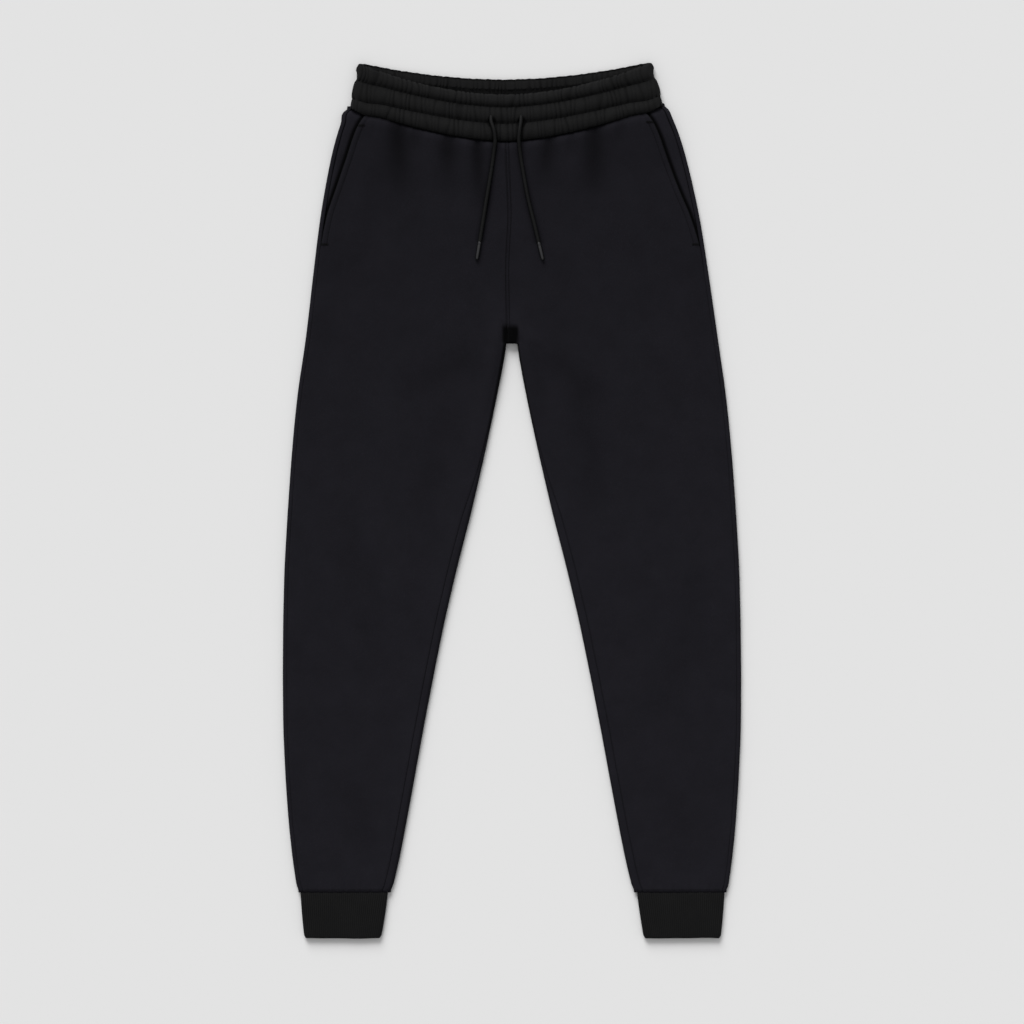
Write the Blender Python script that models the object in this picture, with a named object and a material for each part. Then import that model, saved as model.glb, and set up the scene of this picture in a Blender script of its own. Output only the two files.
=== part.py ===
"""Jogger sweatpants in brushed fleece, laid flat on their back with the front up.

X runs across the garment, with the wearer's left at +X. Y runs from the cuffs up to the waist and Z is
up. The origin is on the surface that they lie on, at the middle of the whole outline. Every cloth piece
is a wall of its own: a grid of points on the outer face, extruded once to give the inner face.
"""
import math
from collections import namedtuple

import bmesh
import bpy
from mathutils import Vector

# ---- cloth, in metres ----
FLEECE = 0.0020             # wall of the fronts and backs
FACING = 0.0015             # wall of the pocket facings
RIB = 0.0030                # wall of a cuff: rib folded double
BAND = 0.0044               # wall of the waistband: rib folded over its elastic
SEAM_GAP = 0.0004           # between two pieces that are sewn together

# ---- how the flattened tube lies ----
FOLD = 0.0032               # outer radius of the edges where body cloth folds from back to front
BAND_FOLD = 0.0054          # the same on the waistband
CUFF_FOLD = 0.0034          # the same on a cuff
FRONT_STARTS = 0.0010       # halfway up a fold, back heights turn into front ones over this much each way
SIDE_SEAM_INSET = 0.0050    # the side seam has rolled this far onto the front
INSEAM_INSET = 0.0100       # and the inseam this far, low on the leg
DIP = 0.0014                # how far the front sinks towards the back between its folds
DIP_REACH = 0.0300          # distance from a fold where it has sunk fully

# ---- heights along the garment ----
WAIST_SEAM_Y = 0.4730       # waist seam at the side folds
WAIST_CURVE_END_Y = 0.3050  # below this the cloth rows run straight across
HEM_Y = -0.4670             # lower end of the legs
CUFF_END_Y = -0.5250
WAIST_TOP_Y = 0.5250        # top of the waistband at the side folds
WAIST_TILT = 0.0018         # the left side of the waist seam lies this much higher, the right side lower
TOP_TILT = 0.0005           # the same for the waistband's top edge
FRONT_SEAM_DROP = 0.0430    # waist seam at centre front, below the side folds
BACK_SEAM_DROP = 0.0240
FRONT_TOP_DROP = 0.0393     # top edge at centre front, below the side folds
BACK_TOP_DROP = 0.0213
SEAM_POWER = 1.62           # how squarely the waist seam turns up to the sides
TOP_POWER = 1.85

# Half widths of the outline from its own middle line. "lean" is how far that line has moved in X.
Station = namedtuple("Station", "y outer inner lean")
OUTLINE = [
    Station(0.4730, 0.1890, 0.0000, -0.0072),
    Station(0.4660, 0.1945, 0.0000, -0.0068),
    Station(0.4266, 0.2088, 0.0000, -0.0054),
    Station(0.3900, 0.2176, 0.0000, -0.0044),
    Station(0.3360, 0.2280, 0.0000, -0.0030),
    Station(0.2640, 0.2380, 0.0000, -0.0018),
    Station(0.1875, 0.2480, 0.0064, -0.0008),
    Station(0.1200, 0.2578, 0.0186, -0.0010),
    Station(0.0000, 0.2680, 0.0450, -0.0008),
    Station(-0.1200, 0.2740, 0.0752, -0.0008),
    Station(-0.2400, 0.2750, 0.0998, -0.0006),
    Station(-0.3600, 0.2703, 0.1220, -0.0004),
    Station(-0.4200, 0.2646, 0.1334, -0.0002),
    Station(-0.4610, 0.2592, 0.1427, 0.0000),
    Station(-0.4670, 0.2566, 0.1458, 0.0000),
]
CUFF_TOP = Station(-0.4674, 0.2554, 0.1478, 0.0000)
CUFF_EDGE_ROUNDING = 0.0006
CUFF_END = Station(CUFF_END_Y, 0.2502, 0.1570, 0.0000)

# The rows of points down a panel, by their height at the side fold.
PANEL_ROWS = (
    0.4730, 0.4660, 0.4550, 0.4400, 0.4225, 0.4050, 0.3850, 0.3650, 0.3450, 0.3250, 0.3050, 0.2800,
    0.2520, 0.2220, 0.2130, 0.1905, 0.1875, 0.1650, 0.1350, 0.0950, 0.0450, -0.0150, -0.0800,
    -0.1450, -0.2100, -0.2750, -0.3350, -0.3900, -0.4350, -0.4610, -0.4670,
)

# ---- crotch ----
CROTCH_Y = 0.1890           # the gap between the legs starts here
PIT_TOP_Y = 0.2160          # above the gap the front sinks into a short pit, from here down
PIT_HALF_WIDTH = 0.0085
PIT_DEPTH = 0.0020
PIT_SHOULDER = 0.0130       # the pit has faded out this far from the middle
PIT_TOP_FADE = 0.0040       # it comes in over this distance each way of its top
PIT_END_FADE = 0.0012       # and ends over this distance just above the gap
INSEAM_STRETCH = 0.0040     # a front's last stretch before the inseam is at least this wide
INNER_CREST_END_Y = 0.2600  # the inner folds of the legs fade out up to here

# How far the inseam has rolled around the inner fold, as travel from the fold's underside.
Roll = namedtuple("Roll", "y travel")
INSEAM_ROLL = [
    Roll(0.1875, math.radians(90) * FOLD),
    Roll(0.1300, math.radians(120) * FOLD),
    Roll(0.0400, math.radians(180) * FOLD + 0.0020),
    Roll(-0.0300, math.radians(180) * FOLD + INSEAM_INSET - FOLD),
    Roll(-0.4670, math.radians(180) * FOLD + INSEAM_INSET - FOLD),
]

# ---- slanted side pockets: distance of each pocket mouth from the side fold ----
Mouth = namedtuple("Mouth", "y right left")
POCKET_MOUTH = [
    Mouth(0.4730, 0.0240, 0.0250),
    Mouth(0.4450, 0.0215, 0.0235),
    Mouth(0.4100, 0.0170, 0.0212),
    Mouth(0.3750, 0.0128, 0.0175),
    Mouth(0.3400, 0.0072, 0.0104),
    Mouth(0.3050, 0.0052, 0.0056),
]
POCKET_END_Y = 0.3050
FACING_UNDERLAP = 0.0280    # the facing runs this far in under the front
FACING_SET_DOWN = 0.0004    # the facing's face lies this far below the back's at the side seam
FACING_CLEARANCE = 0.0040   # the front stays up this far past the facing's inner edge
FACING_LIFT_FADE = 0.0140   # and comes down again over this distance

# ---- soft troughs that run down the front from its gathered waist seam ----
Trough = namedtuple("Trough", "x half_width length depth")
TROUGHS = [
    Trough(-0.1370, 0.0160, 0.1100, 0.0010),
    Trough(-0.0750, 0.0130, 0.0800, 0.0008),
    Trough(-0.0390, 0.0110, 0.1200, 0.0010),
    Trough(0.0450, 0.0120, 0.0800, 0.0008),
    Trough(0.0990, 0.0160, 0.1000, 0.0010),
]

# ---- waistband: three puffed rolls between two rows of stitching ----
BAND_TOP_HALF = 0.1788
BAND_SEAM_HALF = 0.1886
BAND_TOP_LEAN = -0.0093
GROOVE_DEPTH = 0.0020
ROLL_EDGES = (0.0, 0.39, 0.745, 1.0)    # as parts of the band's height
ROWS_PER_ROLL = 4

# ---- drawcord and the two buttonholes it comes out of ----
CORD_RADIUS = 0.0023
BUTTONHOLE_Y = 0.4570
BUTTONHOLE_LENGTH = 0.0140
BUTTONHOLE_HALF_WIDTH = 0.0030
BUTTONHOLE_CLEARANCE = 0.0008   # the cut stops this far above the band's back wall
CUTTER_DEPTH = 0.0100
CORD_RIGHT_EXIT_X = -0.0258
CORD_LEFT_EXIT_X = 0.0102
CORD_RIGHT_ROUTE = [
    (-0.0258, 0.4608, 0.0088), (-0.0254, 0.4535, 0.0118), (-0.0222, 0.4430, 0.0140),
    (-0.0208, 0.4310, 0.0130), (-0.0224, 0.4170, 0.0100), (-0.0250, 0.3980, 0.0083),
    (-0.0318, 0.3570, 0.0078), (-0.0366, 0.3270, 0.0077), (-0.0394, 0.3100, 0.0077),
]
CORD_LEFT_ROUTE = [
    (0.0102, 0.4608, 0.0088), (0.0100, 0.4535, 0.0118), (0.0084, 0.4430, 0.0140),
    (0.0076, 0.4310, 0.0130), (0.0090, 0.4170, 0.0100), (0.0120, 0.3980, 0.0083),
    (0.0182, 0.3640, 0.0078), (0.0262, 0.3310, 0.0077), (0.0314, 0.3092, 0.0077),
]
CORD_STEP = 0.0095          # between the points of a cord's centre line
AGLET_RADIUS = 0.0025
AGLET_LENGTH = 0.0220
AGLET_ROUNDING = 0.0008
AGLET_GAP = 0.0003          # between a cord's end and its aglet

# ---- colours: name, base colour (linear), roughness, metallic ----
FLEECE_LOOK = ("black fleece", (0.012, 0.012, 0.014, 1.0), 0.95, 0.0)
RIB_LOOK = ("black rib knit", (0.010, 0.010, 0.011, 1.0), 0.90, 0.0)
CORD_LOOK = ("black braided cord", (0.014, 0.014, 0.015, 1.0), 0.80, 0.0)
AGLET_LOOK = ("dark cord tip", (0.050, 0.050, 0.055, 1.0), 0.30, 0.0)


def fade(value, low, high):
    """Eased step: 0 up to low, 1 from high on."""
    t = min(max((value - low) / (high - low), 0.0), 1.0)
    return t * t * (3.0 - 2.0 * t)


def read_table(table, column, y):
    """Smooth value of a table's column at height y, without overshoot. Tables run from high to low."""
    if y >= table[0].y:
        return getattr(table[0], column)
    if y <= table[-1].y:
        return getattr(table[-1], column)
    at = next(i for i in range(1, len(table)) if y >= table[i].y)

    values = [getattr(row, column) for row in table]

    def slope(i):
        if i < 1 or i >= len(table):
            return None
        return (values[i] - values[i - 1]) / (table[i].y - table[i - 1].y)

    def tangent(i):
        before, after = slope(i), slope(i + 1)
        if before is None or after is None:
            return after if before is None else before
        return 0.0 if before * after <= 0.0 else 2.0 * before * after / (before + after)

    span = table[at].y - table[at - 1].y
    t = (y - table[at - 1].y) / span
    eased = 3 * t**2 - 2 * t**3
    leaving, arriving = t**3 - 2 * t**2 + t, t**3 - t**2
    return (values[at - 1] * (1.0 - eased) + values[at] * eased
            + span * (leaving * tangent(at - 1) + arriving * tangent(at)))


def around_fold(edge, inward, travel, depth, radius):
    """X and Z on a folded edge. Travel is the arc length from the underside's tangent point, round the
    edge and back over the top. Inward is +1 where the cloth lies on the +X side of the edge."""
    angle = min(max(travel / radius, 0.0), math.pi)
    flat = travel - angle * radius
    reach = radius + abs(flat) - (radius - depth) * math.sin(angle)
    return edge + inward * reach, radius - (radius - depth) * math.cos(angle)


def waist_y(row_y, across, drop, power):
    """Height of a cloth row at a place across, -1 to 1, curved down to the middle near the waist."""
    near_waist = fade(row_y, WAIST_CURVE_END_Y, WAIST_SEAM_Y)
    return row_y + near_waist * (WAIST_TILT * across - drop * (1.0 - abs(across) ** power))


def pocket_reach(side, y):
    """How far from the side fold the layers lie level over a pocket facing."""
    if y < POCKET_END_Y - FACING_LIFT_FADE:
        return 0.0
    mouth = read_table(POCKET_MOUTH, "right" if side < 0 else "left", y)
    return mouth + FACING_UNDERLAP + FACING_CLEARANCE


def top_sink(x, y, outer, inner, level_reach):
    """How far the upper layer has sunk below the top of the folds, at x from the middle line."""
    from_outer = fade(outer - x - level_reach, FOLD, DIP_REACH)
    clear_of_crotch = DIP_REACH * fade(y, CROTCH_Y, INNER_CREST_END_Y)
    from_inner = fade(x - inner + clear_of_crotch, FOLD, DIP_REACH)
    at_seams = fade(WAIST_SEAM_Y - y, 0.0, DIP_REACH) * fade(y - HEM_Y, 0.0, DIP_REACH)
    sink = DIP * from_outer * from_inner * at_seams
    in_pit = fade(PIT_TOP_Y - y, -PIT_TOP_FADE, PIT_TOP_FADE) * fade(y, CROTCH_Y - PIT_END_FADE, CROTCH_Y)
    return sink + PIT_DEPTH * in_pit * (1.0 - fade(x, PIT_HALF_WIDTH * 0.6, PIT_SHOULDER))


def facing_lift(x, y, outer, level_reach):
    """How far a front is held up where a pocket facing lies under it."""
    sideways = 1.0 - fade(outer - level_reach - x, 0.0, FACING_LIFT_FADE)
    below = 1.0 - fade(POCKET_END_Y - y, 0.0, FACING_LIFT_FADE)
    return (FLEECE + SEAM_GAP - FACING_SET_DOWN) * sideways * below


def trough_depth(x, y):
    """Depth of the gathers' soft troughs at a place on the front, with x from the middle line."""
    depth = 0.0
    for trough in TROUGHS:
        off_line = abs(x - trough.x) / trough.half_width
        fall = (WAIST_SEAM_Y - FRONT_SEAM_DROP - y) / trough.length
        along = fade(fall, 0.0, 0.15) * (1.0 - fade(fall, 0.4, 1.0))
        depth += trough.depth * along * (1.0 - fade(off_line, 0.0, 1.0))
    return depth


def panel_columns(outer_part, middle_part, inner_part):
    """Names a panel's columns of points: each is its stretch and how far along that stretch it is."""
    columns = [("outer", i / outer_part) for i in range(outer_part)]
    columns += [("middle", i / middle_part) for i in range(middle_part)]
    columns += [("inner", i / inner_part) for i in range(inner_part + 1)]
    return columns


def place_back(side, column, row_y, inside):
    """Point of a back: from the side seam round the side fold, under, and up the inner fold."""
    outer, inner, lean = (read_table(OUTLINE, name, row_y) for name in ("outer", "inner", "lean"))
    depth = FLEECE if inside else 0.0
    half_turn = math.pi * FOLD
    stretch, part = column
    in_leg = row_y < CROTCH_Y
    inner_tangent = inner + FOLD if in_leg else PIT_SHOULDER
    if stretch == "outer":
        seam_travel = half_turn + SIDE_SEAM_INSET - FOLD - SEAM_GAP / 2
        x, z = around_fold(outer, -1, seam_travel * (1.0 - part), depth, FOLD)
    elif stretch == "middle":
        x = (outer - FOLD) * (1.0 - part) + inner_tangent * part
        z = depth
    elif in_leg:
        travel = part * (read_table(INSEAM_ROLL, "travel", row_y) - SEAM_GAP / 2)
        x, z = around_fold(inner, 1, travel, depth, FOLD)
    else:
        x = PIT_SHOULDER * (1.0 - part) + SEAM_GAP / 2 * part
        z = depth
    if z > FOLD:
        z -= top_sink(x, row_y, outer, inner, pocket_reach(side, row_y))
    on_front = fade(z, FOLD - FRONT_STARTS, FOLD + FRONT_STARTS)
    drop = FRONT_SEAM_DROP * on_front + BACK_SEAM_DROP * (1.0 - on_front)
    y = waist_y(row_y, side * x / outer, drop, SEAM_POWER)
    return Vector((lean + side * x, y, z))


def place_front(side, column, row_y, inside):
    """Point of a front: from the side seam or pocket mouth over the top to the inner or centre seam."""
    outer, inner, lean = (read_table(OUTLINE, name, row_y) for name in ("outer", "inner", "lean"))
    mouth = read_table(POCKET_MOUTH, "right" if side < 0 else "left", row_y)
    edge_inset = SIDE_SEAM_INSET + SEAM_GAP / 2
    if row_y >= POCKET_END_Y:
        edge_inset = max(edge_inset, mouth)
    depth = FLEECE if inside else 0.0
    stretch, part = column
    in_leg = row_y < CROTCH_Y
    seam_travel = read_table(INSEAM_ROLL, "travel", row_y) + SEAM_GAP / 2
    start_travel = max(math.pi * FOLD, seam_travel + INSEAM_STRETCH)
    inner_start = inner + FOLD + start_travel - math.pi * FOLD if in_leg else PIT_SHOULDER
    z = 2 * FOLD - depth
    level_end = outer - edge_inset - FACING_UNDERLAP - FACING_CLEARANCE
    if stretch == "outer":
        x = (outer - edge_inset) * (1.0 - part) + level_end * part
    elif stretch == "middle":
        x = level_end * (1.0 - part) + inner_start * part
    elif in_leg:
        x, z = around_fold(inner, 1, start_travel + part * (seam_travel - start_travel), depth, FOLD)
    else:
        x = PIT_SHOULDER * (1.0 - part) + SEAM_GAP / 2 * part
    y = waist_y(row_y, side * x / outer, FRONT_SEAM_DROP, SEAM_POWER)
    if z > FOLD:
        level = pocket_reach(side, row_y)
        z += facing_lift(x, row_y, outer, level) - top_sink(x, row_y, outer, inner, level)
        z -= trough_depth(side * x, y)
    return Vector((lean + side * x, y, z))


def place_facing(side, part, row_y, inside):
    """Point of a pocket facing, which lies under the front and shows at the pocket mouth."""
    outer, lean = (read_table(OUTLINE, name, row_y) for name in ("outer", "lean"))
    mouth = read_table(POCKET_MOUTH, "right" if side < 0 else "left", row_y)
    start = SIDE_SEAM_INSET + SEAM_GAP / 2
    x = outer - start - part * (mouth + FACING_UNDERLAP - start)
    z = 2 * FOLD - FACING_SET_DOWN - (FACING if inside else 0.0)
    y = waist_y(row_y, side * x / outer, FRONT_SEAM_DROP, SEAM_POWER)
    return Vector((lean + side * x, y, z))


def place_band(around, up, inside):
    """Point of the waistband. Around is (stretch, part) and up is 0 at the seam and 1 at the top."""
    half = BAND_SEAM_HALF + (BAND_TOP_HALF - BAND_SEAM_HALF) * up
    stretch, part = around
    straight = half - BAND_FOLD
    turn = math.pi * BAND_FOLD
    roll = next(i for i in range(3) if up <= ROLL_EDGES[i + 1] + 1e-6)
    along_roll = (up - ROLL_EDGES[roll]) / (ROLL_EDGES[roll + 1] - ROLL_EDGES[roll])
    sunk = GROOVE_DEPTH * (1.0 - math.sqrt(max(math.sin(math.pi * min(along_roll, 1.0)), 0.0)))
    depth = BAND if inside else sunk
    if stretch == "front":
        x, z = straight * (2.0 * part - 1.0), 2 * BAND_FOLD - depth
    elif stretch == "back":
        x, z = straight * (1.0 - 2.0 * part), depth if inside else 0.0
    elif stretch == "left fold":
        into_wall = depth if inside else sunk * (1.0 - part)
        x, z = around_fold(half, -1, turn * (1.0 - part), into_wall, BAND_FOLD)
    else:
        x, z = around_fold(-half, 1, turn * part, depth if inside else sunk * part, BAND_FOLD)
    across = x / half
    on_front = fade(z, BAND_FOLD - FRONT_STARTS, BAND_FOLD + FRONT_STARTS)
    seam_drop = FRONT_SEAM_DROP * on_front + BACK_SEAM_DROP * (1.0 - on_front)
    top_drop = FRONT_TOP_DROP * on_front + BACK_TOP_DROP * (1.0 - on_front)
    seam_across = min(max(x / OUTLINE[0].outer, -1.0), 1.0)
    seam = WAIST_SEAM_Y + SEAM_GAP - seam_drop * (1.0 - abs(seam_across) ** SEAM_POWER)
    top = WAIST_TOP_Y - top_drop * (1.0 - abs(across) ** TOP_POWER)
    y = (seam + WAIST_TILT * seam_across) * (1.0 - up) + (top + TOP_TILT * across) * up
    lean = OUTLINE[0].lean * (1.0 - up) + BAND_TOP_LEAN * up
    return Vector((lean + x, y, z))


def place_cuff(side, around, up, inside):
    """Point of a cuff, a flattened rib tube. Up is 0 at its lower end and 1 at the leg."""
    stretch, part = around
    outer = CUFF_END.outer + (CUFF_TOP.outer - CUFF_END.outer) * up
    inner = CUFF_END.inner + (CUFF_TOP.inner - CUFF_END.inner) * up
    rounded = CUFF_EDGE_ROUNDING * (1.0 - fade(min(up, 1.0 - up), 0.0, 0.05))
    depth = RIB if inside else rounded
    turn = math.pi * CUFF_FOLD
    low, high = inner + CUFF_FOLD, outer - CUFF_FOLD
    if stretch == "front":
        x, z = low + (high - low) * part, 2 * CUFF_FOLD - depth
    elif stretch == "back":
        x, z = high + (low - high) * part, depth if inside else 0.0
    elif stretch == "left fold":
        into_wall = depth if inside else rounded * (1.0 - part)
        x, z = around_fold(outer, -1, turn * (1.0 - part), into_wall, CUFF_FOLD)
    else:
        x, z = around_fold(inner, 1, turn * part, depth if inside else rounded * part, CUFF_FOLD)
    y = CUFF_END.y + (CUFF_TOP.y - CUFF_END.y) * up
    return Vector((CUFF_TOP.lean + side * x, y, z))


def ring_columns(front_part, fold_part, back_part):
    """Columns of points once round a flattened tube."""
    columns = [("front", i / front_part) for i in range(front_part)]
    columns += [("left fold", i / fold_part) for i in range(fold_part)]
    columns += [("back", i / back_part) for i in range(back_part)]
    columns += [("right fold", i / fold_part) for i in range(fold_part)]
    return columns


def material(look):
    """Principled material from a look's name, colour, roughness and metallic value."""
    name, colour, roughness, metallic = look
    found = bpy.data.materials.get(name)
    if found:
        return found
    made = bpy.data.materials.new(name)
    made.use_nodes = True
    shader = made.node_tree.nodes["Principled BSDF"]
    shader.inputs["Base Color"].default_value = colour
    shader.inputs["Roughness"].default_value = roughness
    shader.inputs["Metallic"].default_value = metallic
    return made


def add_object(name, bm, look, smooth=True):
    """Turns a bmesh into a named object with its material."""
    bmesh.ops.recalc_face_normals(bm, faces=bm.faces)
    if bm.calc_volume(signed=True) < 0.0:
        bmesh.ops.reverse_faces(bm, faces=bm.faces)
    mesh = bpy.data.meshes.new(name)
    bm.to_mesh(mesh)
    bm.free()
    mesh.materials.append(material(look))
    if smooth:
        mesh.shade_smooth()
        mesh.set_sharp_from_angle(angle=math.radians(40))
    built = bpy.data.objects.new(name, mesh)
    bpy.context.scene.collection.objects.link(built)
    return built


def cloth_wall(name, columns, rows, place, look, closed=False):
    """A cloth piece: a grid of columns and rows, extruded to an inner face, then put in place.

    Place takes a column, a row and whether the point is on the inner face. A closed piece runs once
    round a tube, and its last column joins its first.
    """
    bm = bmesh.new()
    count = len(columns) if closed else len(columns) - 1
    bmesh.ops.create_grid(bm, x_segments=count, y_segments=len(rows) - 1, size=0.5)
    step_x, step_y = 1.0 / count, 1.0 / (len(rows) - 1)
    extruded = bmesh.ops.extrude_face_region(bm, geom=bm.faces[:], use_keep_orig=True)
    inner = {item for item in extruded["geom"] if isinstance(item, bmesh.types.BMVert)}
    if closed:
        end_walls = [face for face in bm.faces if all(abs(vert.co.x) > 0.499999 for vert in face.verts)]
        bmesh.ops.delete(bm, geom=end_walls, context="FACES_ONLY")
    for vert in bm.verts:
        column = round((vert.co.x + 0.5) / step_x) % len(columns)
        row = round((vert.co.y + 0.5) / step_y)
        vert.co = place(columns[column], rows[row], vert in inner)
    if closed:
        bmesh.ops.remove_doubles(bm, verts=bm.verts, dist=1e-6)
    return add_object(name, bm, look)


def build_fronts_and_backs():
    """The four large panels, two fronts and two backs."""
    back_columns = panel_columns(7, 4, 6)
    front_columns = panel_columns(4, 8, 4)
    for side, word in ((-1, "right"), (1, "left")):
        cloth_wall("back_" + word, back_columns, PANEL_ROWS,
                   lambda column, row, inside: place_back(side, column, row, inside), FLEECE_LOOK)
        cloth_wall("front_" + word, front_columns, PANEL_ROWS,
                   lambda column, row, inside: place_front(side, column, row, inside), FLEECE_LOOK)


def build_facings():
    """The pocket facings, from the waist seam down to the end of each pocket mouth."""
    rows = [row for row in PANEL_ROWS if row >= POCKET_END_Y]
    for side, word in ((-1, "right"), (1, "left")):
        cloth_wall("pocket_facing_" + word, [i / 4 for i in range(5)], rows,
                   lambda part, row, inside: place_facing(side, part, row, inside), FLEECE_LOOK)


def build_cuffs():
    """The two rib cuffs."""
    rows = (0.0, 0.04, 0.35, 0.66, 0.96, 1.0)
    for side, word in ((-1, "right"), (1, "left")):
        cloth_wall("cuff_" + word, ring_columns(6, 5, 5), rows,
                   lambda around, up, inside: place_cuff(side, around, up, inside), RIB_LOOK, closed=True)


def cut_buttonhole(target, x):
    """Cuts one upright buttonhole through the front wall of the waistband."""
    bm = bmesh.new()
    bmesh.ops.create_cone(bm, segments=12, radius1=BUTTONHOLE_HALF_WIDTH, radius2=BUTTONHOLE_HALF_WIDTH,
                          depth=CUTTER_DEPTH, cap_ends=True)
    stretch = BUTTONHOLE_LENGTH / 2 - BUTTONHOLE_HALF_WIDTH
    for vert in bm.verts:
        vert.co.y += math.copysign(stretch, vert.co.y)
    cutter = add_object("buttonhole_cutter", bm, RIB_LOOK, smooth=False)
    cutter.location = (x, BUTTONHOLE_Y, BAND + BUTTONHOLE_CLEARANCE + CUTTER_DEPTH / 2)
    cutter.hide_render = True
    cutter.display_type = "WIRE"
    cut = target.modifiers.new("buttonhole", "BOOLEAN")
    cut.operation = "DIFFERENCE"
    cut.object = cutter


def build_waistband():
    """The waistband, one flattened ring with three rolls."""
    rows = [ROLL_EDGES[roll] + (ROLL_EDGES[roll + 1] - ROLL_EDGES[roll]) * i / ROWS_PER_ROLL
            for roll in range(3) for i in range(ROWS_PER_ROLL)] + [1.0]
    band = cloth_wall("waistband", ring_columns(16, 5, 8), rows, place_band, RIB_LOOK, closed=True)
    for x in (CORD_RIGHT_EXIT_X, CORD_LEFT_EXIT_X):
        cut_buttonhole(band, x)


def smooth_route(points, step):
    """Evenly spaced points on a smooth curve through the given ones."""
    knots = [Vector(point) for point in points]
    ends = [knots[0] * 2 - knots[1]] + knots + [knots[-1] * 2 - knots[-2]]
    fine = []
    for a, b, c, d in zip(ends, ends[1:], ends[2:], ends[3:]):
        for i in range(40):
            t = i / 40
            fine.append(0.5 * (2 * b + (c - a) * t + (2 * a - 5 * b + 4 * c - d) * t**2
                               + (3 * b - a - 3 * c + d) * t**3))
    fine.append(knots[-1])
    travelled = [0.0]
    for before, after in zip(fine, fine[1:]):
        travelled.append(travelled[-1] + (after - before).length)
    count = round(travelled[-1] / step)
    even = []
    for i in range(count + 1):
        wanted = travelled[-1] * i / count
        at = next(k for k in range(1, len(fine)) if travelled[k] >= wanted - 1e-9)
        part = (wanted - travelled[at - 1]) / (travelled[at] - travelled[at - 1])
        even.append(fine[at - 1].lerp(fine[at], part))
    return even


def build_cord(word, route):
    """One free end of the drawcord with its aglet."""
    points = smooth_route(route, CORD_STEP)
    curve = bpy.data.curves.new("drawcord_" + word, "CURVE")
    curve.dimensions = "3D"
    curve.bevel_depth = CORD_RADIUS
    curve.bevel_resolution = 2
    curve.use_fill_caps = True
    spline = curve.splines.new("POLY")
    spline.points.add(len(points) - 1)
    for target, point in zip(spline.points, points):
        target.co = (*point, 1.0)
    curve.materials.append(material(CORD_LOOK))
    cord = bpy.data.objects.new("drawcord_" + word, curve)
    bpy.context.scene.collection.objects.link(cord)

    bm = bmesh.new()
    bmesh.ops.create_cone(bm, segments=16, radius1=AGLET_RADIUS, radius2=AGLET_RADIUS,
                          depth=AGLET_LENGTH, cap_ends=True)
    rims = [edge for edge in bm.edges if abs(edge.verts[0].co.z - edge.verts[1].co.z) < 1e-6]
    bmesh.ops.bevel(bm, geom=rims, offset=AGLET_ROUNDING, offset_type="OFFSET", segments=2, profile=0.5,
                    affect="EDGES", material=-1)
    aglet = add_object("aglet_" + word, bm, AGLET_LOOK)
    heading = (points[-1] - points[-2]).normalized()
    aglet.rotation_mode = "QUATERNION"
    aglet.rotation_quaternion = heading.to_track_quat("Z", "Y")
    aglet.location = points[-1] + heading * (AGLET_LENGTH / 2 + AGLET_GAP)


def main():
    """Clears the scene and builds every piece."""
    for found in list(bpy.data.objects):
        bpy.data.objects.remove(found, do_unlink=True)
    build_fronts_and_backs()
    build_facings()
    build_cuffs()
    build_waistband()
    build_cord("right", CORD_RIGHT_ROUTE)
    build_cord("left", CORD_LEFT_ROUTE)


main()
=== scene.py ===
"""Jogger sweatpants in black brushed fleece, laid flat with the front up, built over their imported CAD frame.

X runs across the garment with the wearer's left at +X, Y runs from the cuffs up to the waist, and Z is up
from the surface that they lie on. Everything is in metres.
"""

import math

import bmesh
import bpy
import numpy as np
from mathutils import Matrix, Vector


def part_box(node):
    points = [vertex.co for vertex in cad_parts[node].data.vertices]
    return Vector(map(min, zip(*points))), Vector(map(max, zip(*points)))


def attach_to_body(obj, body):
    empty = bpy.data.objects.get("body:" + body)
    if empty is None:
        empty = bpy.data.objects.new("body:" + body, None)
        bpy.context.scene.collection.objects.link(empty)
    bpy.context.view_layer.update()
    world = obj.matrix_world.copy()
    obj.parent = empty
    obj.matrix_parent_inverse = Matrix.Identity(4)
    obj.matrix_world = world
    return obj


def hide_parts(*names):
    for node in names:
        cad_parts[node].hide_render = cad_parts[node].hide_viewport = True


bl_info = {
    "name": "Jogger sweatpants",
    "version": (1, 0, 0),
    "blender": (4, 5, 0),
    "location": "View3D > Sidebar > Joggers",
    "description": "Builds fleece jogger sweatpants with rib waistband, cuffs and drawcord, piece by piece",
    "category": "Add Mesh",
}

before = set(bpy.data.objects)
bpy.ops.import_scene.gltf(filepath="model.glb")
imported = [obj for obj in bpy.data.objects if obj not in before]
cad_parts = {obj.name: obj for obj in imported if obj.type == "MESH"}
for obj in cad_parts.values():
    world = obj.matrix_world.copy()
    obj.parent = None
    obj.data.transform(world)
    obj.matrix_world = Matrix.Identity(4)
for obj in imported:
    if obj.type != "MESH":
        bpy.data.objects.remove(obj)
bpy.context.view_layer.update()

X, Y, Z = 0, 1, 2
RIGHT, LEFT = -1, 1                 # side of the wearer, as the sign of X
SIDE_NAMES = {RIGHT: "right", LEFT: "left"}
MOUTH_STITCHES = 0.0066             # from a pocket mouth's edge to its row of stitches
SEAM_STITCHES = 0.0019              # from the centre seam to the row on each side of it
CLOTH_UV = "cloth"                  # UV map in metres: U across the cloth, V along its grain
PAINTED_SHADE = "painted_shade"                   # painted shade: 0 on open cloth, 1 where the colour is darkened most, deep in a crease, groove or seam
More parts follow.
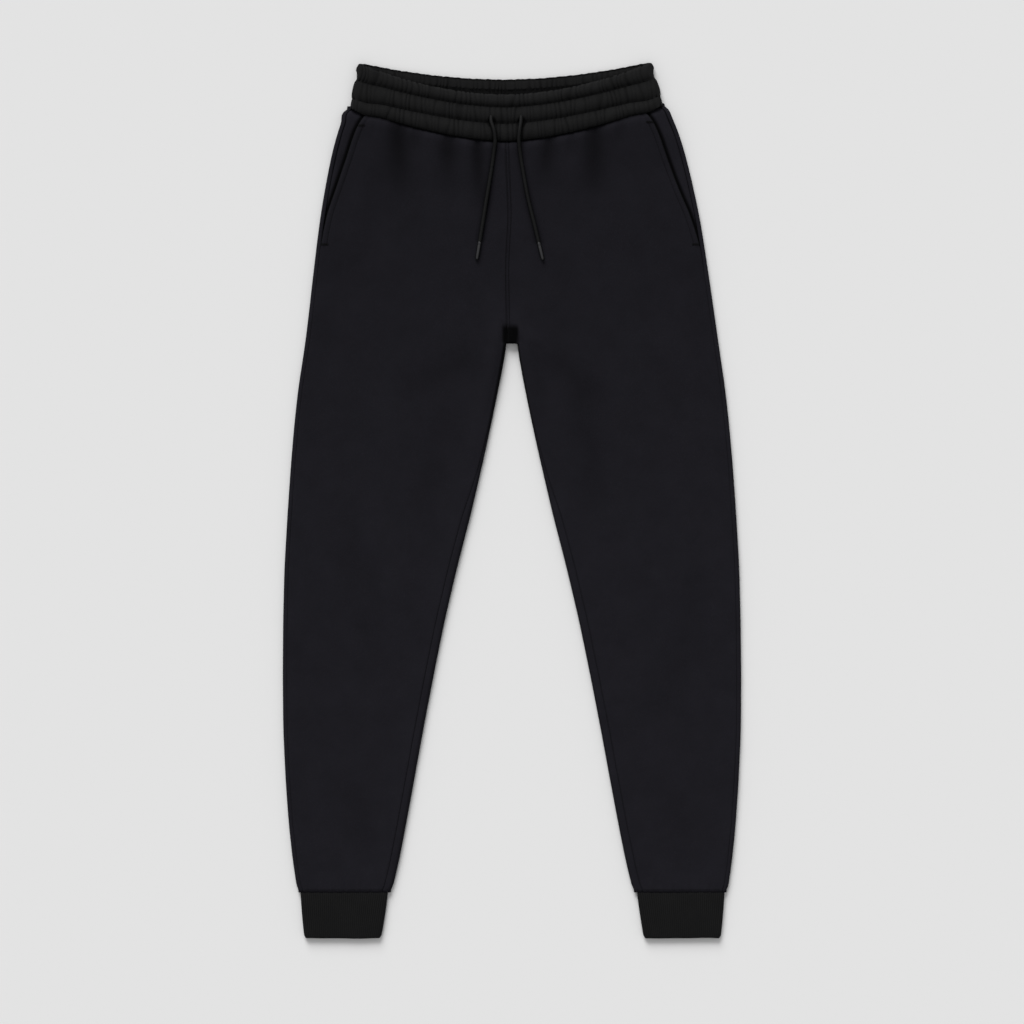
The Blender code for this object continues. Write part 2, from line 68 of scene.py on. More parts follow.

# Centre lines of the two free cord ends, as in the CAD.
CORD_ROUTES = {
    RIGHT: [
        (-0.0258, 0.4608, 0.0088), (-0.0254, 0.4535, 0.0118), (-0.0222, 0.4430, 0.0140),
        (-0.0208, 0.4310, 0.0130), (-0.0224, 0.4170, 0.0100), (-0.0250, 0.3980, 0.0083),
        (-0.0318, 0.3570, 0.0078), (-0.0366, 0.3270, 0.0077), (-0.0394, 0.3100, 0.0077),
    ],
    LEFT: [
        (0.0102, 0.4608, 0.0088), (0.0100, 0.4535, 0.0118), (0.0084, 0.4430, 0.0140),
        (0.0076, 0.4310, 0.0130), (0.0090, 0.4170, 0.0100), (0.0120, 0.3980, 0.0083),
        (0.0182, 0.3640, 0.0078), (0.0262, 0.3310, 0.0077), (0.0314, 0.3092, 0.0077),
    ],
}


# ---------------------------------------------------------------- settings

class JoggersCloth(bpy.types.PropertyGroup):
    """Sizes of the cloth and of its folds."""
    thickness: bpy.props.FloatProperty(
        name="Fleece thickness", description="Wall of the fronts and backs",
        default=0.0016, unit="LENGTH")
    facing_thickness: bpy.props.FloatProperty(
        name="Facing thickness", description="Wall of the pocket facings",
        default=0.0012, unit="LENGTH")
    row_step: bpy.props.FloatProperty(
        name="Row step", description="Distance between rows of points along the legs",
        default=0.0030, unit="LENGTH")
    dip: bpy.props.FloatProperty(
        name="Dip", description="How far the front sinks between its folds",
        default=0.0012, unit="LENGTH")
    gather_depth: bpy.props.FloatProperty(
        name="Gather depth", description="How much deeper than measured the waist's troughs are, as a factor",
        default=1.0, subtype="FACTOR")
    pit_depth: bpy.props.FloatProperty(
        name="Crotch pit depth", description="How far the front sinks just above the gap between the legs",
        default=0.0014, unit="LENGTH")


class JoggersRib(bpy.types.PropertyGroup):
    """Sizes of the rib waistband and cuffs."""
    groove_depth: bpy.props.FloatProperty(
        name="Groove depth", description="Depth of the stitched grooves between the waistband's rolls",
        default=0.0030, unit="LENGTH")
    gather_pitch: bpy.props.FloatProperty(
        name="Gather pitch", description="Usual distance between the waistband's fine gathers",
        default=0.0064, unit="LENGTH")
    gather_depth: bpy.props.FloatProperty(
        name="Gather depth", description="Depth of the waistband's fine gathers",
        default=0.0013, unit="LENGTH")
    rib_pitch: bpy.props.FloatProperty(
        name="Rib pitch", description="Distance between the ribs of a cuff",
        default=0.0024, unit="LENGTH")
    rib_depth: bpy.props.FloatProperty(
        name="Rib depth", description="Depth of the valleys between a cuff's ribs",
        default=0.00035, unit="LENGTH")


class JoggersCord(bpy.types.PropertyGroup):
    """Sizes of the drawcord and its tips."""
    radius: bpy.props.FloatProperty(
        name="Cord radius", description="Outer radius of the braided cord", default=0.0023, unit="LENGTH")
    braid_depth: bpy.props.FloatProperty(
        name="Braid depth", description="Depth of the valleys between the braid's strands",
        default=0.00035, unit="LENGTH")
    braid_pitch: bpy.props.FloatProperty(
        name="Braid pitch", description="Length of one crossing of the braid's strands",
        default=0.0042, unit="LENGTH")


class JoggersColours(bpy.types.PropertyGroup):
    """Colours of the cloth, cord and thread."""
    fleece: bpy.props.FloatVectorProperty(
        name="Fleece", description="Colour of the body cloth", size=3, subtype="COLOR",
        default=(0.0101, 0.0096, 0.0127))
    rib: bpy.props.FloatVectorProperty(
        name="Rib", description="Colour of the waistband and cuffs", size=3, subtype="COLOR",
        default=(0.0102, 0.0102, 0.0103))
    cord: bpy.props.FloatVectorProperty(
        name="Cord", description="Colour of the drawcord", size=3, subtype="COLOR",
        default=(0.0064, 0.0064, 0.0066))
    tip: bpy.props.FloatVectorProperty(
        name="Cord tip", description="Colour of the cord tips", size=3, subtype="COLOR",
        default=(0.032, 0.032, 0.034))
    thread: bpy.props.FloatVectorProperty(
        name="Thread", description="Colour of the sewing thread", size=3, subtype="COLOR",
        default=(0.0042, 0.0042, 0.0046))
    floor: bpy.props.FloatVectorProperty(
        name="Floor", description="Colour of the floor", size=3, subtype="COLOR",
        default=(0.78, 0.78, 0.78))


class JoggersStage(bpy.types.PropertyGroup):
    """Camera and lights."""
    height: bpy.props.FloatProperty(
        name="Camera height", description="Height of the camera above the floor", default=5.0, unit="LENGTH")
    field: bpy.props.FloatProperty(
        name="Field", description="Width of floor that the camera sees", default=1.2288, unit="LENGTH")
    aim: bpy.props.FloatVectorProperty(
        name="Aim", description="Point of the floor at the middle of the view", size=2,
        default=(-0.0006, -0.0138), subtype="XYZ")
    key_strength: bpy.props.FloatProperty(
        name="Key light", description="Strength of the soft light from beyond the waist, in W/m2",
        default=3.10)
    key_elevation: bpy.props.FloatProperty(
        name="Key elevation", description="Height of the key light above the horizon",
        default=math.radians(30), subtype="ANGLE")
    key_turn: bpy.props.FloatProperty(
        name="Key turn", description="How far the key light is turned towards the wearer's right",
        default=math.radians(14), subtype="ANGLE")
    key_softness: bpy.props.FloatProperty(
        name="Key softness", description="Angle that the key light covers", default=math.radians(36),
        subtype="ANGLE")
    fill_strength: bpy.props.FloatProperty(
        name="Fill", description="Strength of the even light from all round", default=0.490)


# ---------------------------------------------------------------- measuring the CAD

def fade(value, low, high):
    """Eased step: 0 up to low, 1 from high on."""
    t = np.clip((value - low) / (high - low), 0.0, 1.0)
    return t * t * (3.0 - 2.0 * t)


def swell(distance, width):
    """Soft bump that is 1 at distance 0 and fades out over its width."""
    return np.exp(-(distance / width) ** 2)


def measure(node, along, levels, across, pick, low=-1.0, high=1.0):
    """How far a CAD node reaches across, at each level along it, counting what lies from low to high in Z."""
    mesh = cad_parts[node].data
    points = np.array([vert.co[:] for vert in mesh.vertices])
    ends = np.array([edge.vertices[:] for edge in mesh.edges])
    start, end = points[ends[:, 0]], points[ends[:, 1]]
    reached = np.full(len(levels), np.nan)
    for i, level in enumerate(levels):
        before, after = start[:, along] - level, end[:, along] - level
        cut = before * after < 0.0
        part = (before[cut] / (before[cut] - after[cut]))[:, None]
        hits = start[cut] + part * (end[cut] - start[cut])
        hits = hits[(hits[:, Z] >= low) & (hits[:, Z] <= high)]
        if len(hits):
            reached[i] = pick(hits[:, across])
    return reached


class Line:
    """A measured line: a value at each of many levels, eased so that the CAD's facets don't show."""

    def __init__(self, levels, values, passes=24):
        known = ~np.isnan(values)
        values = np.interp(levels, levels[known], values[known])
        for _ in range(passes):
            values[1:-1] = 0.25 * values[:-2] + 0.5 * values[1:-1] + 0.25 * values[2:]
        self.levels, self.values = levels, values

    def __call__(self, level):
        return np.interp(level, self.levels, self.values)


# Where the lying cloth leaves the CAD's lines.
CORNER_PUFF = {RIGHT: 0.0030, LEFT: 0.0006}     # how far the body's top corners puff out sideways
CORNER_TAPER = 0.0024                           # how far they draw in again at the waist seam
POCKET_GAPE = {RIGHT: 0.0034, LEFT: 0.0022}     # how far the pocket mouths gape outwards at their top
SEAM_DIP = 0.0034                               # how much lower the waist seam runs beside the side folds
SEAM_SLIP = 0.0046                              # how far right the centre seam has slipped near the crotch
HEM_DROP = 0.0028                               # how far the hems lie over the cuffs
GAP_DROP = 0.0016                               # how far the seams' lump fills the top of the legs' gap


class Form:
    """The lying garment's main lines, measured on the CAD nodes. Distances across are positive outwards."""

    def __init__(self):
        body_low, body_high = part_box("back_left")
        self.fold = body_high[Z] / 2
        self.hem_y = body_low[Y]
        self.side_top = {side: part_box("back_" + SIDE_NAMES[side])[1][Y] for side in (RIGHT, LEFT)}
        cuff_low, cuff_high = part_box("cuff_left")
        self.cuff_fold = cuff_high[Z] / 2
        self.cuff_top_y, self.cuff_end_y = cuff_high[Y], cuff_low[Y]
        self.pocket_end_y = float(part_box("pocket_facing_left")[0][Y])
        self.outer, self.inner, self.front_edge, self.front_inner = {}, {}, {}, {}
        self.measure_waist()
        for side in (RIGHT, LEFT):
            self.measure_leg(side)
        self.measure_middle()
        for side in (RIGHT, LEFT):
            self.ease_inner_folds(side)
        self.hem_y -= HEM_DROP
        self.cuff_top_y -= HEM_DROP
        self.crotch_y -= GAP_DROP

    def measure_waist(self):
        """Seams and top edges of the waistband, front and back."""
        low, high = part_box("waistband")
        self.band_fold = high[Z] / 2
        xs = np.arange(low[X] + 0.0016, high[X] - 0.0015, 0.002)
        in_front, behind = {"low": self.band_fold}, {"high": self.band_fold}
        self.front_seam = Line(xs, measure("waistband", X, xs, Y, np.min, **in_front), 4)
        self.back_seam = Line(xs, measure("waistband", X, xs, Y, np.min, **behind), 4)
        self.front_top = Line(xs, measure("waistband", X, xs, Y, np.max, **in_front), 4)
        self.back_top = Line(xs, measure("waistband", X, xs, Y, np.max, **behind), 4)
        from_middle = np.abs(xs - (low[X] + high[X]) / 2)
        self.front_seam.values -= SEAM_DIP * swell(from_middle - 0.171, 0.014)
        near_top = np.array([high[Y] - 0.0060])
        self.band_seam_ends = (low[X], high[X])
        self.band_top_ends = tuple(measure("waistband", Y, near_top, X, pick)[0] for pick in (np.min, np.max))

    def measure_leg(self, side):
        """Outer and inner folds of one side, and the front's outer edge."""
        name = SIDE_NAMES[side]

        def furthest(hits):
            return side * np.max(side * hits)

        def nearest(hits):
            return side * np.min(side * hits)

        ys = np.arange(self.hem_y + 0.0002, self.side_top[side], 0.002)
        measured = side * measure("back_" + name, Y, ys, X, furthest)
        eased = Line(ys, measured, 60).values
        self.outer[side] = Line(ys, eased + (measured - eased) * self.near_ends(ys, side), 3)
        below_corner = ys - self.side_top[side] + 0.008
        self.outer[side].values += CORNER_PUFF[side] * swell(below_corner, 0.007)
        self.outer[side].values -= CORNER_TAPER * fade(below_corner, 0.0045, 0.0080)
        self.inner[side] = Line(ys, side * measure("back_" + name, Y, ys, X, nearest), 0)
        self.front_inner[side] = Line(ys, side * measure("front_" + name, Y, ys, X, nearest), 0)
        front_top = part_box("front_" + name)[1][Y]
        ys = np.arange(self.hem_y + 0.0002, front_top - 0.0004, 0.002)
        self.front_edge[side] = Line(ys, side * measure("front_" + name, Y, ys, X, furthest), 6)
        self.front_edge[side].values += POCKET_GAPE[side] * fade(ys, front_top - 0.060, front_top - 0.015)

    def measure_middle(self):
        """The top of the gap between the legs, and the centre line above it."""
        ys = np.arange(self.hem_y + 0.0002, self.side_top[LEFT], 0.0005)
        gap = measure("back_left", Y, ys, X, np.min) - measure("back_right", Y, ys, X, np.max)
        self.crotch_y = float(ys[gap < 0.004].min())
        ys = np.arange(self.crotch_y + 0.004, self.side_top[RIGHT] - 0.026, 0.004)
        seam = (measure("back_left", Y, ys, X, np.min) + measure("back_right", Y, ys, X, np.max)) / 2
        self.centre = Line(ys, seam, 12)
        self.centre.values -= SEAM_SLIP * (1.0 - fade(ys, 0.270, 0.360))

    def ease_inner_folds(self, side):
        """Eases the inner folds within the leg only, so that the crotch stays sharp."""
        ys = np.arange(self.hem_y + 0.0002, self.crotch_y - 0.0035, 0.002)
        near_crotch = fade(ys, self.crotch_y - 0.03, self.crotch_y - 0.01)
        ends = np.maximum(self.near_ends(ys, side), near_crotch)
        for lines in (self.inner, self.front_inner):
            measured = lines[side](ys)
            eased = Line(ys, measured, 60).values
            lines[side] = Line(ys, eased + (measured - eased) * ends, 3)

    def along_band(self, share):
        """X at the waistband's seam and at its top, at a share of its width."""
        return tuple(low + share * (high - low) for low, high in (self.band_seam_ends, self.band_top_ends))

    def near_ends(self, ys, side):
        """1 near the hem and the waist seam, where lines keep their corners, and 0 between."""
        return 1.0 - fade(ys, self.hem_y + 0.004, self.hem_y + 0.030) * (
            1.0 - fade(ys, self.side_top[side] - 0.020, self.side_top[side] - 0.004))


form = Form()


# ---------------------------------------------------------------- shapes of cloth

def around_fold(edge, travel, depth, radius):
    """Distance across and height on a folded edge. Travel is the arc length from the underside's tangent
    point, round the edge and back over the top; the cloth lies outwards of the edge."""
    angle = np.clip(travel / radius, 0.0, math.pi)
    flat = travel - angle * radius
    reach = radius + np.abs(flat) - (radius - depth) * np.sin(angle)
    return edge + reach, radius - (radius - depth) * np.cos(angle)


def uneven(t, seed):
    """Smooth uneven wave between about -1 and 1, with the same shape each run."""
    return (0.50 * np.sin(t + seed) + 0.30 * np.sin(1.73 * t + 2.1 * seed)
            + 0.20 * np.sin(2.91 * t + 0.7 * seed))


# Soft troughs that run down the front from its gathered waist seam: place at the seam, how far they drift
# sideways, half width, length and depth.
WAIST_TROUGHS = [
    (-0.1370, 0.004, 0.0120, 0.125, 0.0042),
    (-0.1150, 0.002, 0.0060, 0.045, 0.0018),
    (-0.0760, -0.002, 0.0095, 0.085, 0.0036),
    (-0.0420, 0.006, 0.0070, 0.110, 0.0040),
    (0.0440, -0.005, 0.0090, 0.080, 0.0034),
    (0.0700, 0.002, 0.0060, 0.040, 0.0016),
    (0.0980, 0.003, 0.0120, 0.115, 0.0040),
    (0.1290, 0.001, 0.0060, 0.040, 0.0016),
]

# Long soft creases of the legs, on the front: start and end (x, y), half width and depth.
LEG_CREASES = [
    (-0.030, 0.180, -0.150, 0.120, 0.018, 0.0011),
    (0.030, 0.180, 0.120, 0.100, 0.018, 0.0013),
    (0.070, 0.150, 0.110, -0.060, 0.020, 0.0012),
    (-0.075, 0.130, -0.130, -0.080, 0.022, 0.0009),
    (-0.215, 0.020, -0.165, -0.240, 0.020, 0.0009),
    (0.225, -0.060, 0.170, -0.290, 0.020, 0.0010),
    (-0.200, -0.330, -0.165, -0.440, 0.014, 0.0009),
    (0.190, -0.340, 0.215, -0.440, 0.013, 0.0009),
]


def crease_depth(x, y):
    """Depth of the front's troughs and creases at each place."""
    fall = form.front_seam(x) - y
    depth = np.zeros_like(x)
    for at, drift, half_width, length, deep in WAIST_TROUGHS:
        line = at + drift * fall / length
        widening = half_width * (1.0 + 0.6 * fall / length)
        fading = (1.0 - fade(fall, 0.2 * length, length)) * fade(fall, -0.002, 0.006)
        depth += deep * fading * swell(x - line, widening)
    for x0, y0, x1, y1, half_width, deep in LEG_CREASES:
        run = math.hypot(x1 - x0, y1 - y0)
        along = ((x - x0) * (x1 - x0) + (y - y0) * (y1 - y0)) / run
        off = ((x - x0) * (y1 - y0) - (y - y0) * (x1 - x0)) / run + 0.004 * np.sin(along * 14.0)
        fading = fade(along, 0.0, 0.3 * run) * (1.0 - fade(along, 0.6 * run, run))
        depth += deep * fading * swell(off, half_width)
    return depth


def waist_puff(fall):
    """How far the cloth stands up below the gathered waist seam."""
    return 0.0030 * fade(fall, -0.001, 0.009) * (1.0 - fade(fall, 0.014, 0.085))


def undulation(x, y):
    """Slow rise and fall of loosely lying cloth, between about -1 and 1."""
    return (0.45 * np.sin(31.0 * x + 9.0 * y + 0.8) + 0.35 * np.sin(-17.0 * x + 22.0 * y + 2.1)
            + 0.20 * np.sin(53.0 * x - 27.0 * y + 4.0))


def seam_edge(distance):
    """Height of cloth near a seam that it is turned into: a low ridge, then a drop into the seam."""
    return 0.0003 * swell(distance - 0.0035, 0.0025) - 0.0011 * swell(distance, 0.0010)


def turned_in(fall):
    """1 where cloth has turned down into the waist seam and 0 below it."""
    return 1.0 - fade(fall, -0.0006, 0.0020)


def waist_drop(side, rows, across, seam):
    """How far a row of cloth lies below its height at the side fold, at each place across it."""
    ends = form.outer[side](form.side_top[side]), side * form.centre(form.side_top[side])
    top_x = side * (ends[1] + across * (ends[0] - ends[1]))
    drop = seam(side * ends[0]) - seam(top_x)
    return drop * fade(rows, 0.305, form.side_top[side])


def settled_edge(side, rows, edge):
    """A front's outer edge along each row, settled from a first guess in a few steps: a row lies lower the
    further in it is, and the slanted edge lies elsewhere there."""
    outer, centre = form.outer[side](rows), side * form.centre(rows)
    for _ in range(4):
        height = rows - waist_drop(side, rows, (edge - centre) / (outer - centre), form.front_seam)
        edge = form.front_edge[side](height)
    return edge


def inseam_travel(side, rows):
    """Where the inseam lies on the inner fold, as travel from the fold's underside."""
    down = form.crotch_y - rows
    inset = np.maximum(form.front_inner[side](rows) - form.inner[side](rows) - form.fold, 0.0)
    turned = math.radians(90) * form.fold * (1.0 + fade(down, 0.0, 0.15))
    return turned + inset * fade(down, 0.10, 0.22)


def cord_shade(x, y):
    """How much shade is painted on cloth beside and under the drawcord."""
    shade = np.zeros_like(x)
    for side in (RIGHT, LEFT):
        route = np.array(CORD_ROUTES[side][::-1])
        beside = x - np.interp(y, route[:, 1], route[:, 0])
        shade += 0.6 * swell(beside, 0.0042) * (y > route[0, 1]) * (y < route[-2, 1])
    return shade


def shaded_rim(side, rows, outer, inner, across):
    """How much shade is painted on a leg's rounded edges: most beside the top of the gap between the legs."""
    above = rows[:, None] - form.crotch_y
    reach = 0.0040 - 0.0010 * side
    at_gap = 1.0 - fade(across - inner[:, None], reach - 0.0026, reach)
    by_gap = (0.30 + 0.70 * swell(above, 0.080)) * at_gap
    at_side = 0.45 * (1.0 - fade(outer[:, None] - across, 0.0003, 0.0016))
    return by_gap * (above < 0.0) + at_side


def body_rows(side, step):
    """Heights of the rows of points down a panel, at the side fold, from the waist seam to the hem."""
    top = form.side_top[side] + 0.0014
    upper = np.linspace(top, form.crotch_y + 0.0002, round((top - form.crotch_y) / step))
    lower = np.linspace(form.crotch_y - 0.0002, form.hem_y, round((form.crotch_y - form.hem_y) / step))
    return np.concatenate([upper, lower])


def spread(first_count, first_width, last_count, last_width, middle_count, total):
    """Distances along a row of points, finer in its first and last stretch. Total is an array of rows."""
    first = np.linspace(0.0, first_width, first_count + 1)[:-1]
    last = np.linspace(0.0, last_width, last_count + 1)
    share = np.linspace(0.0, 1.0, middle_count + 1)[:-1]
    total = total[:, None]
    middle = first_width + share * (total - last_width - first_width)
    return np.concatenate([np.broadcast_to(first, (len(total), len(first))), middle,
                           total - last_width + last], axis=1)


class FrontGrid:
    """A front's grid of points before it sinks and folds: its places, and its distances from the edges."""

    def __init__(self, side, row_step):
        self.side = side
        self.rows = rows = body_rows(side, row_step)
        self.in_leg = in_leg = (rows < form.crotch_y)[:, None]
        self.outer = outer = form.outer[side](rows)
        centre = side * form.centre(rows)
        self.inner = inner = np.where(rows < form.crotch_y, form.inner[side](rows), centre)
        edge = settled_edge(side, rows, outer - 0.005)
        travel = inseam_travel(side, rows)

        # Above the gap the columns run on from those of the leg, and close up to the centre seam.
        self.above = rows[:, None] - form.crotch_y
        half_gap = form.inner[side](form.crotch_y - 0.001) - side * form.centre(form.crotch_y)
        closing = (centre + half_gap)[:, None] - half_gap * fade(self.above, 0.0, 0.030)
        bend = np.where(in_leg, inner[:, None], closing)
        flat_start = np.where(in_leg, math.pi * form.fold - travel[:, None], 0.5 * math.pi * form.fold)
        width = (edge[:, None] - bend - form.fold + flat_start)[:, 0]
        self.from_edge = spread(12, 0.014, 16, 0.018, 64, width)
        self.from_seam = from_seam = width[:, None] - self.from_edge
        on_fold, fold_z = around_fold(bend, travel[:, None] + from_seam, 0.0, form.fold)
        near_seam = np.clip(from_seam / np.where(in_leg, 1.0, flat_start), 0.0, 1.0)
        flat_across = (centre[:, None] + near_seam * (bend + form.fold - centre[:, None])
                       + np.maximum(from_seam - flat_start, 0.0))
        self.across = across = np.where(in_leg, on_fold, flat_across)
        relative = (across - centre[:, None]) / (outer - centre)[:, None]
        self.x = side * across
        self.y = rows[:, None] - waist_drop(side, rows[:, None], relative, form.front_seam)
        self.z = np.where(in_leg, fold_z, 2 * form.fold)
        self.off_centre = across - centre[:, None]
        self.to_inner = across - bend
        self.down = form.front_seam(self.x) - self.y
        self.up = self.y - form.hem_y
        self.at_pocket = fade(self.y, form.pocket_end_y - 0.002, form.pocket_end_y + 0.002)


def front_creases(grid, settings):
    """Height of a front's sinking between the folds, pocket layers and gathers, and its creases' depth."""
    clear_of_crotch = 0.030 * fade(grid.above, 0.0, 0.070)
    clear = (fade(grid.outer[:, None] - grid.across, form.fold, 0.034)
             * fade(grid.to_inner + clear_of_crotch, form.fold, 0.034))
    clear_of_seams = fade(grid.down, 0.0, 0.030) * fade(grid.up, 0.0, 0.030)
    sink = settings.dip * clear * clear_of_seams
    below_pocket = form.pocket_end_y - grid.y
    lift = 0.0020 * (1.0 - fade(grid.from_edge, 0.026, 0.060)) * (1.0 - fade(below_pocket, 0.0, 0.045))
    creases = settings.gather_depth * crease_depth(grid.x, grid.y) * (0.35 + 0.65 * clear)
    pucker = (0.00060 * uneven(grid.x / 0.0015, 1.3) * swell(grid.down, 0.014)
              + 0.00040 * uneven(grid.x / 0.0017, 4.1) * swell(grid.up, 0.010))
    lie = 0.00035 * undulation(grid.x, grid.y) * clear
    return lift - sink - creases + waist_puff(grid.down) + pucker + lie, creases


def crotch_pit(grid):
    """1 in the pit above the gap between the legs, and 0 round it."""
    edge = 0.0072 + 0.0031 * grid.side
    within = 1.0 - fade(grid.off_centre, edge, edge + 0.0042)
    return (1.0 - fade(grid.above, 0.0165, 0.0245)) * within * ~grid.in_leg


def crotch_ridges(grid):
    """Height of the fuller cloth round the crotch pit, and of the seams' lump in it."""
    reach = np.where(grid.above > 0.0, 0.035, 0.070)
    ridge = 0.0052 * swell(grid.to_inner - 0.0110, 0.0100) * swell(grid.above, reach)
    lump = swell(grid.off_centre, 0.0080) * (1.0 - fade(grid.to_inner, -0.0040, 0.0)) * ~grid.in_leg
    return ridge + 0.0048 * lump * swell(grid.above, 0.030)


def front_edges(grid):
    """Height at a front's edges: its seams are turned in, and its pocket mouth is a rounded fold."""
    rounding = 1.0 - np.sqrt(1.0 - np.clip(1.0 - grid.from_edge / 0.0016, 0.0, 1.0) ** 2)
    mouth = (0.0007 * swell(grid.from_edge - 0.0030, 0.0025) - 0.0016 * rounding
             - 0.0004 * swell(grid.from_edge - MOUTH_STITCHES, 0.0008))
    side_edge = grid.at_pocket * mouth + (1.0 - grid.at_pocket) * 0.25 * seam_edge(grid.from_edge)
    inner_edge = np.where(grid.in_leg, 0.45 * seam_edge(grid.from_seam), 0.15 * seam_edge(grid.off_centre))
    return side_edge + inner_edge - 0.0017 * turned_in(grid.down) - 0.0004 * swell(grid.up, 0.0012)


def front_points(side, settings):
    """Points and UVs of a front's outer face, and the shade painted on it."""
    grid = FrontGrid(side, settings.row_step)
    folds, creases = front_creases(grid, settings)
    pit = crotch_pit(grid)
    z = grid.z + folds + crotch_ridges(grid) - settings.pit_depth * pit + front_edges(grid)
    # Painted shade: the colour darkens in the crotch pit, along the rims by the legs' gap and sides, beside
    # the cord, in the creases and troughs, into the seams, hem and pocket mouth, and a little towards the
    # waist.
    beside_seam = 0.45 * swell(grid.off_centre - SEAM_STITCHES, 0.0006)
    painted_shade = (pit + shaded_rim(side, grid.rows, grid.outer, grid.inner, grid.across)
              + cord_shade(grid.x, grid.y) + 0.48 * creases / 0.0040 + 0.12 * fade(grid.y, -0.10, 0.32)
              + 0.8 * turned_in(grid.down) + 0.12 * swell(grid.up, 0.0010)
              + np.where(grid.in_leg, 0.22 * swell(grid.from_seam, 0.0009), beside_seam)
              + 0.80 * swell(grid.from_edge, 0.0008) * grid.at_pocket
              + 0.08 * swell(grid.from_edge, 0.0009) * (1.0 - grid.at_pocket))
    return np.stack([grid.x, grid.y, z], axis=-1), np.stack([grid.x, grid.y], axis=-1), painted_shade


def back_points(side):
    """Points and UVs of a back's outer face: from the side seam on top, round and under, to the inseam."""
    rows = body_rows(side, 0.0036)
    in_leg = (rows < form.crotch_y)[:, None]
    outer = form.outer[side](rows)
    centre = side * form.centre(rows)
    inner = np.where(rows < form.crotch_y, form.inner[side](rows), centre)
    edge = outer - form.front_edge[side](np.minimum(rows, form.pocket_end_y - 0.01))
    edge = np.where(rows > form.pocket_end_y - 0.012, 0.0052, edge)
    outer_turn = math.pi * form.fold + np.maximum(edge - form.fold, 0.0)
    travel = inseam_travel(side, rows)
    inner_turn = np.where(in_leg[:, 0], travel, 0.0)
    flat = np.where(in_leg[:, 0], outer - inner - 2 * form.fold, outer - inner - form.fold)
    width = outer_turn + flat + inner_turn
    along = spread(16, 0.016, 18, 0.020, 52, width)
    outer_x, outer_z = around_fold(0.0, outer_turn[:, None] - along, 0.0, form.fold)
    inner_x, inner_z = around_fold(0.0, along - (outer_turn + flat)[:, None], 0.0, form.fold)
    past_half = along > (outer_turn + flat / 2)[:, None]
    beyond = along > (outer_turn + flat)[:, None]
    flat_x = outer[:, None] - form.fold - (along - outer_turn[:, None])
    across = np.where(along < outer_turn[:, None], outer[:, None] - outer_x, flat_x)
    across = np.where(beyond & in_leg, inner[:, None] + inner_x, across)
    z = np.where(along < outer_turn[:, None], outer_z, 0.0)
    z = np.where(past_half, np.where(in_leg & beyond, inner_z, 0.0), z)
    relative = (across - centre[:, None]) / (outer - centre)[:, None]
    front_share = fade(z, form.fold, 2 * form.fold)
    drop = (waist_drop(side, rows[:, None], relative, form.front_seam) * front_share
            + waist_drop(side, rows[:, None], relative, form.back_seam) * (1.0 - front_share))
    y = rows[:, None] - drop
    x = side * across

    # Only the parts that have turned up off the surface get seams and creases.
    risen = fade(z, 0.3 * form.fold, 1.5 * form.fold)
    up = y - form.hem_y
    z = z + risen * (0.25 * seam_edge(along) + 0.45 * seam_edge(width[:, None] - along))
    fall = form.front_seam(x) - y
    z = z + risen * (0.0003 * uneven(y / 0.011, 2.0) - 0.0014 * turned_in(fall) + waist_puff(fall))
    z = z - risen * 0.0004 * swell(up, 0.0012)
    uv = np.stack([side * (outer[:, None] - along), y], axis=-1)
    # Painted shade: the colour darkens into the seams, the hem and the waist seam, and along the rims by the
    # legs' gap and sides.
    painted_shade = risen * (0.08 * swell(along, 0.0009) + 0.22 * swell(width[:, None] - along, 0.0009)
                      + 0.12 * swell(up, 0.0010) + 0.5 * turned_in(fall))
    painted_shade = painted_shade + shaded_rim(side, rows, outer, inner, across)
    return np.stack([x, y, np.maximum(z, 0.0)], axis=-1), uv, painted_shade


def facing_points(side):
    """Points and UVs of a pocket facing, from the side seam to under the front."""
    top = form.side_top[side] + 0.0014
    rows = np.linspace(top, form.pocket_end_y, 60)
    outer = form.outer[side](rows)
    centre = side * form.centre(rows)
    edge = settled_edge(side, rows, form.front_edge[side](rows))
    start = outer - 0.0052
    width = np.maximum(start - edge, 0.0) + 0.020
    from_side = np.linspace(0.0, 1.0, 26)[None, :] * width[:, None]
    across = start[:, None] - from_side
    relative = (across - centre[:, None]) / (outer - centre)[:, None]
    y = rows[:, None] - waist_drop(side, rows[:, None], relative, form.front_seam)
    x = side * across
    under = fade(from_side - np.maximum(start - edge, 0.0)[:, None], -0.003, 0.002)
    fall = form.front_seam(x) - y
    to_mouth = np.maximum(start - edge, 0.0)[:, None] - from_side
    z = 2 * form.fold - 0.0004 + seam_edge(from_side) + 0.8 * waist_puff(fall)
    z = z - 0.0014 * (1.0 - fade(to_mouth, -0.001, 0.007))
    z = z + 0.0003 * uneven(y / 0.012, 3.0 + side) * (1.0 - under)
    z = z - 0.0014 * turned_in(fall)
    # Painted shade: the colour darkens in the pocket mouth's gap, at the side seam and into the waist seam.
    painted_shade = 1.0 - fade(to_mouth, 0.0020, 0.0054) + 0.15 * swell(from_side, 0.0009) + 0.5 * turned_in(fall)
    return np.stack([x, y, z], axis=-1), np.stack([x, y], axis=-1), painted_shade


def ring_columns(front, fold, back):
    """Columns once round a flattened tube: the stretch that each is on (0 front, 1 left fold, 2 back,
    3 right fold) and what part of it lies behind the column."""
    stretches, parts = [], []
    for stretch, count in enumerate((front, fold, back, fold)):
        stretches += [stretch] * count
        parts += [i / count for i in range(count)]
    return np.array(stretches + [0]), np.array(parts + [0.0])


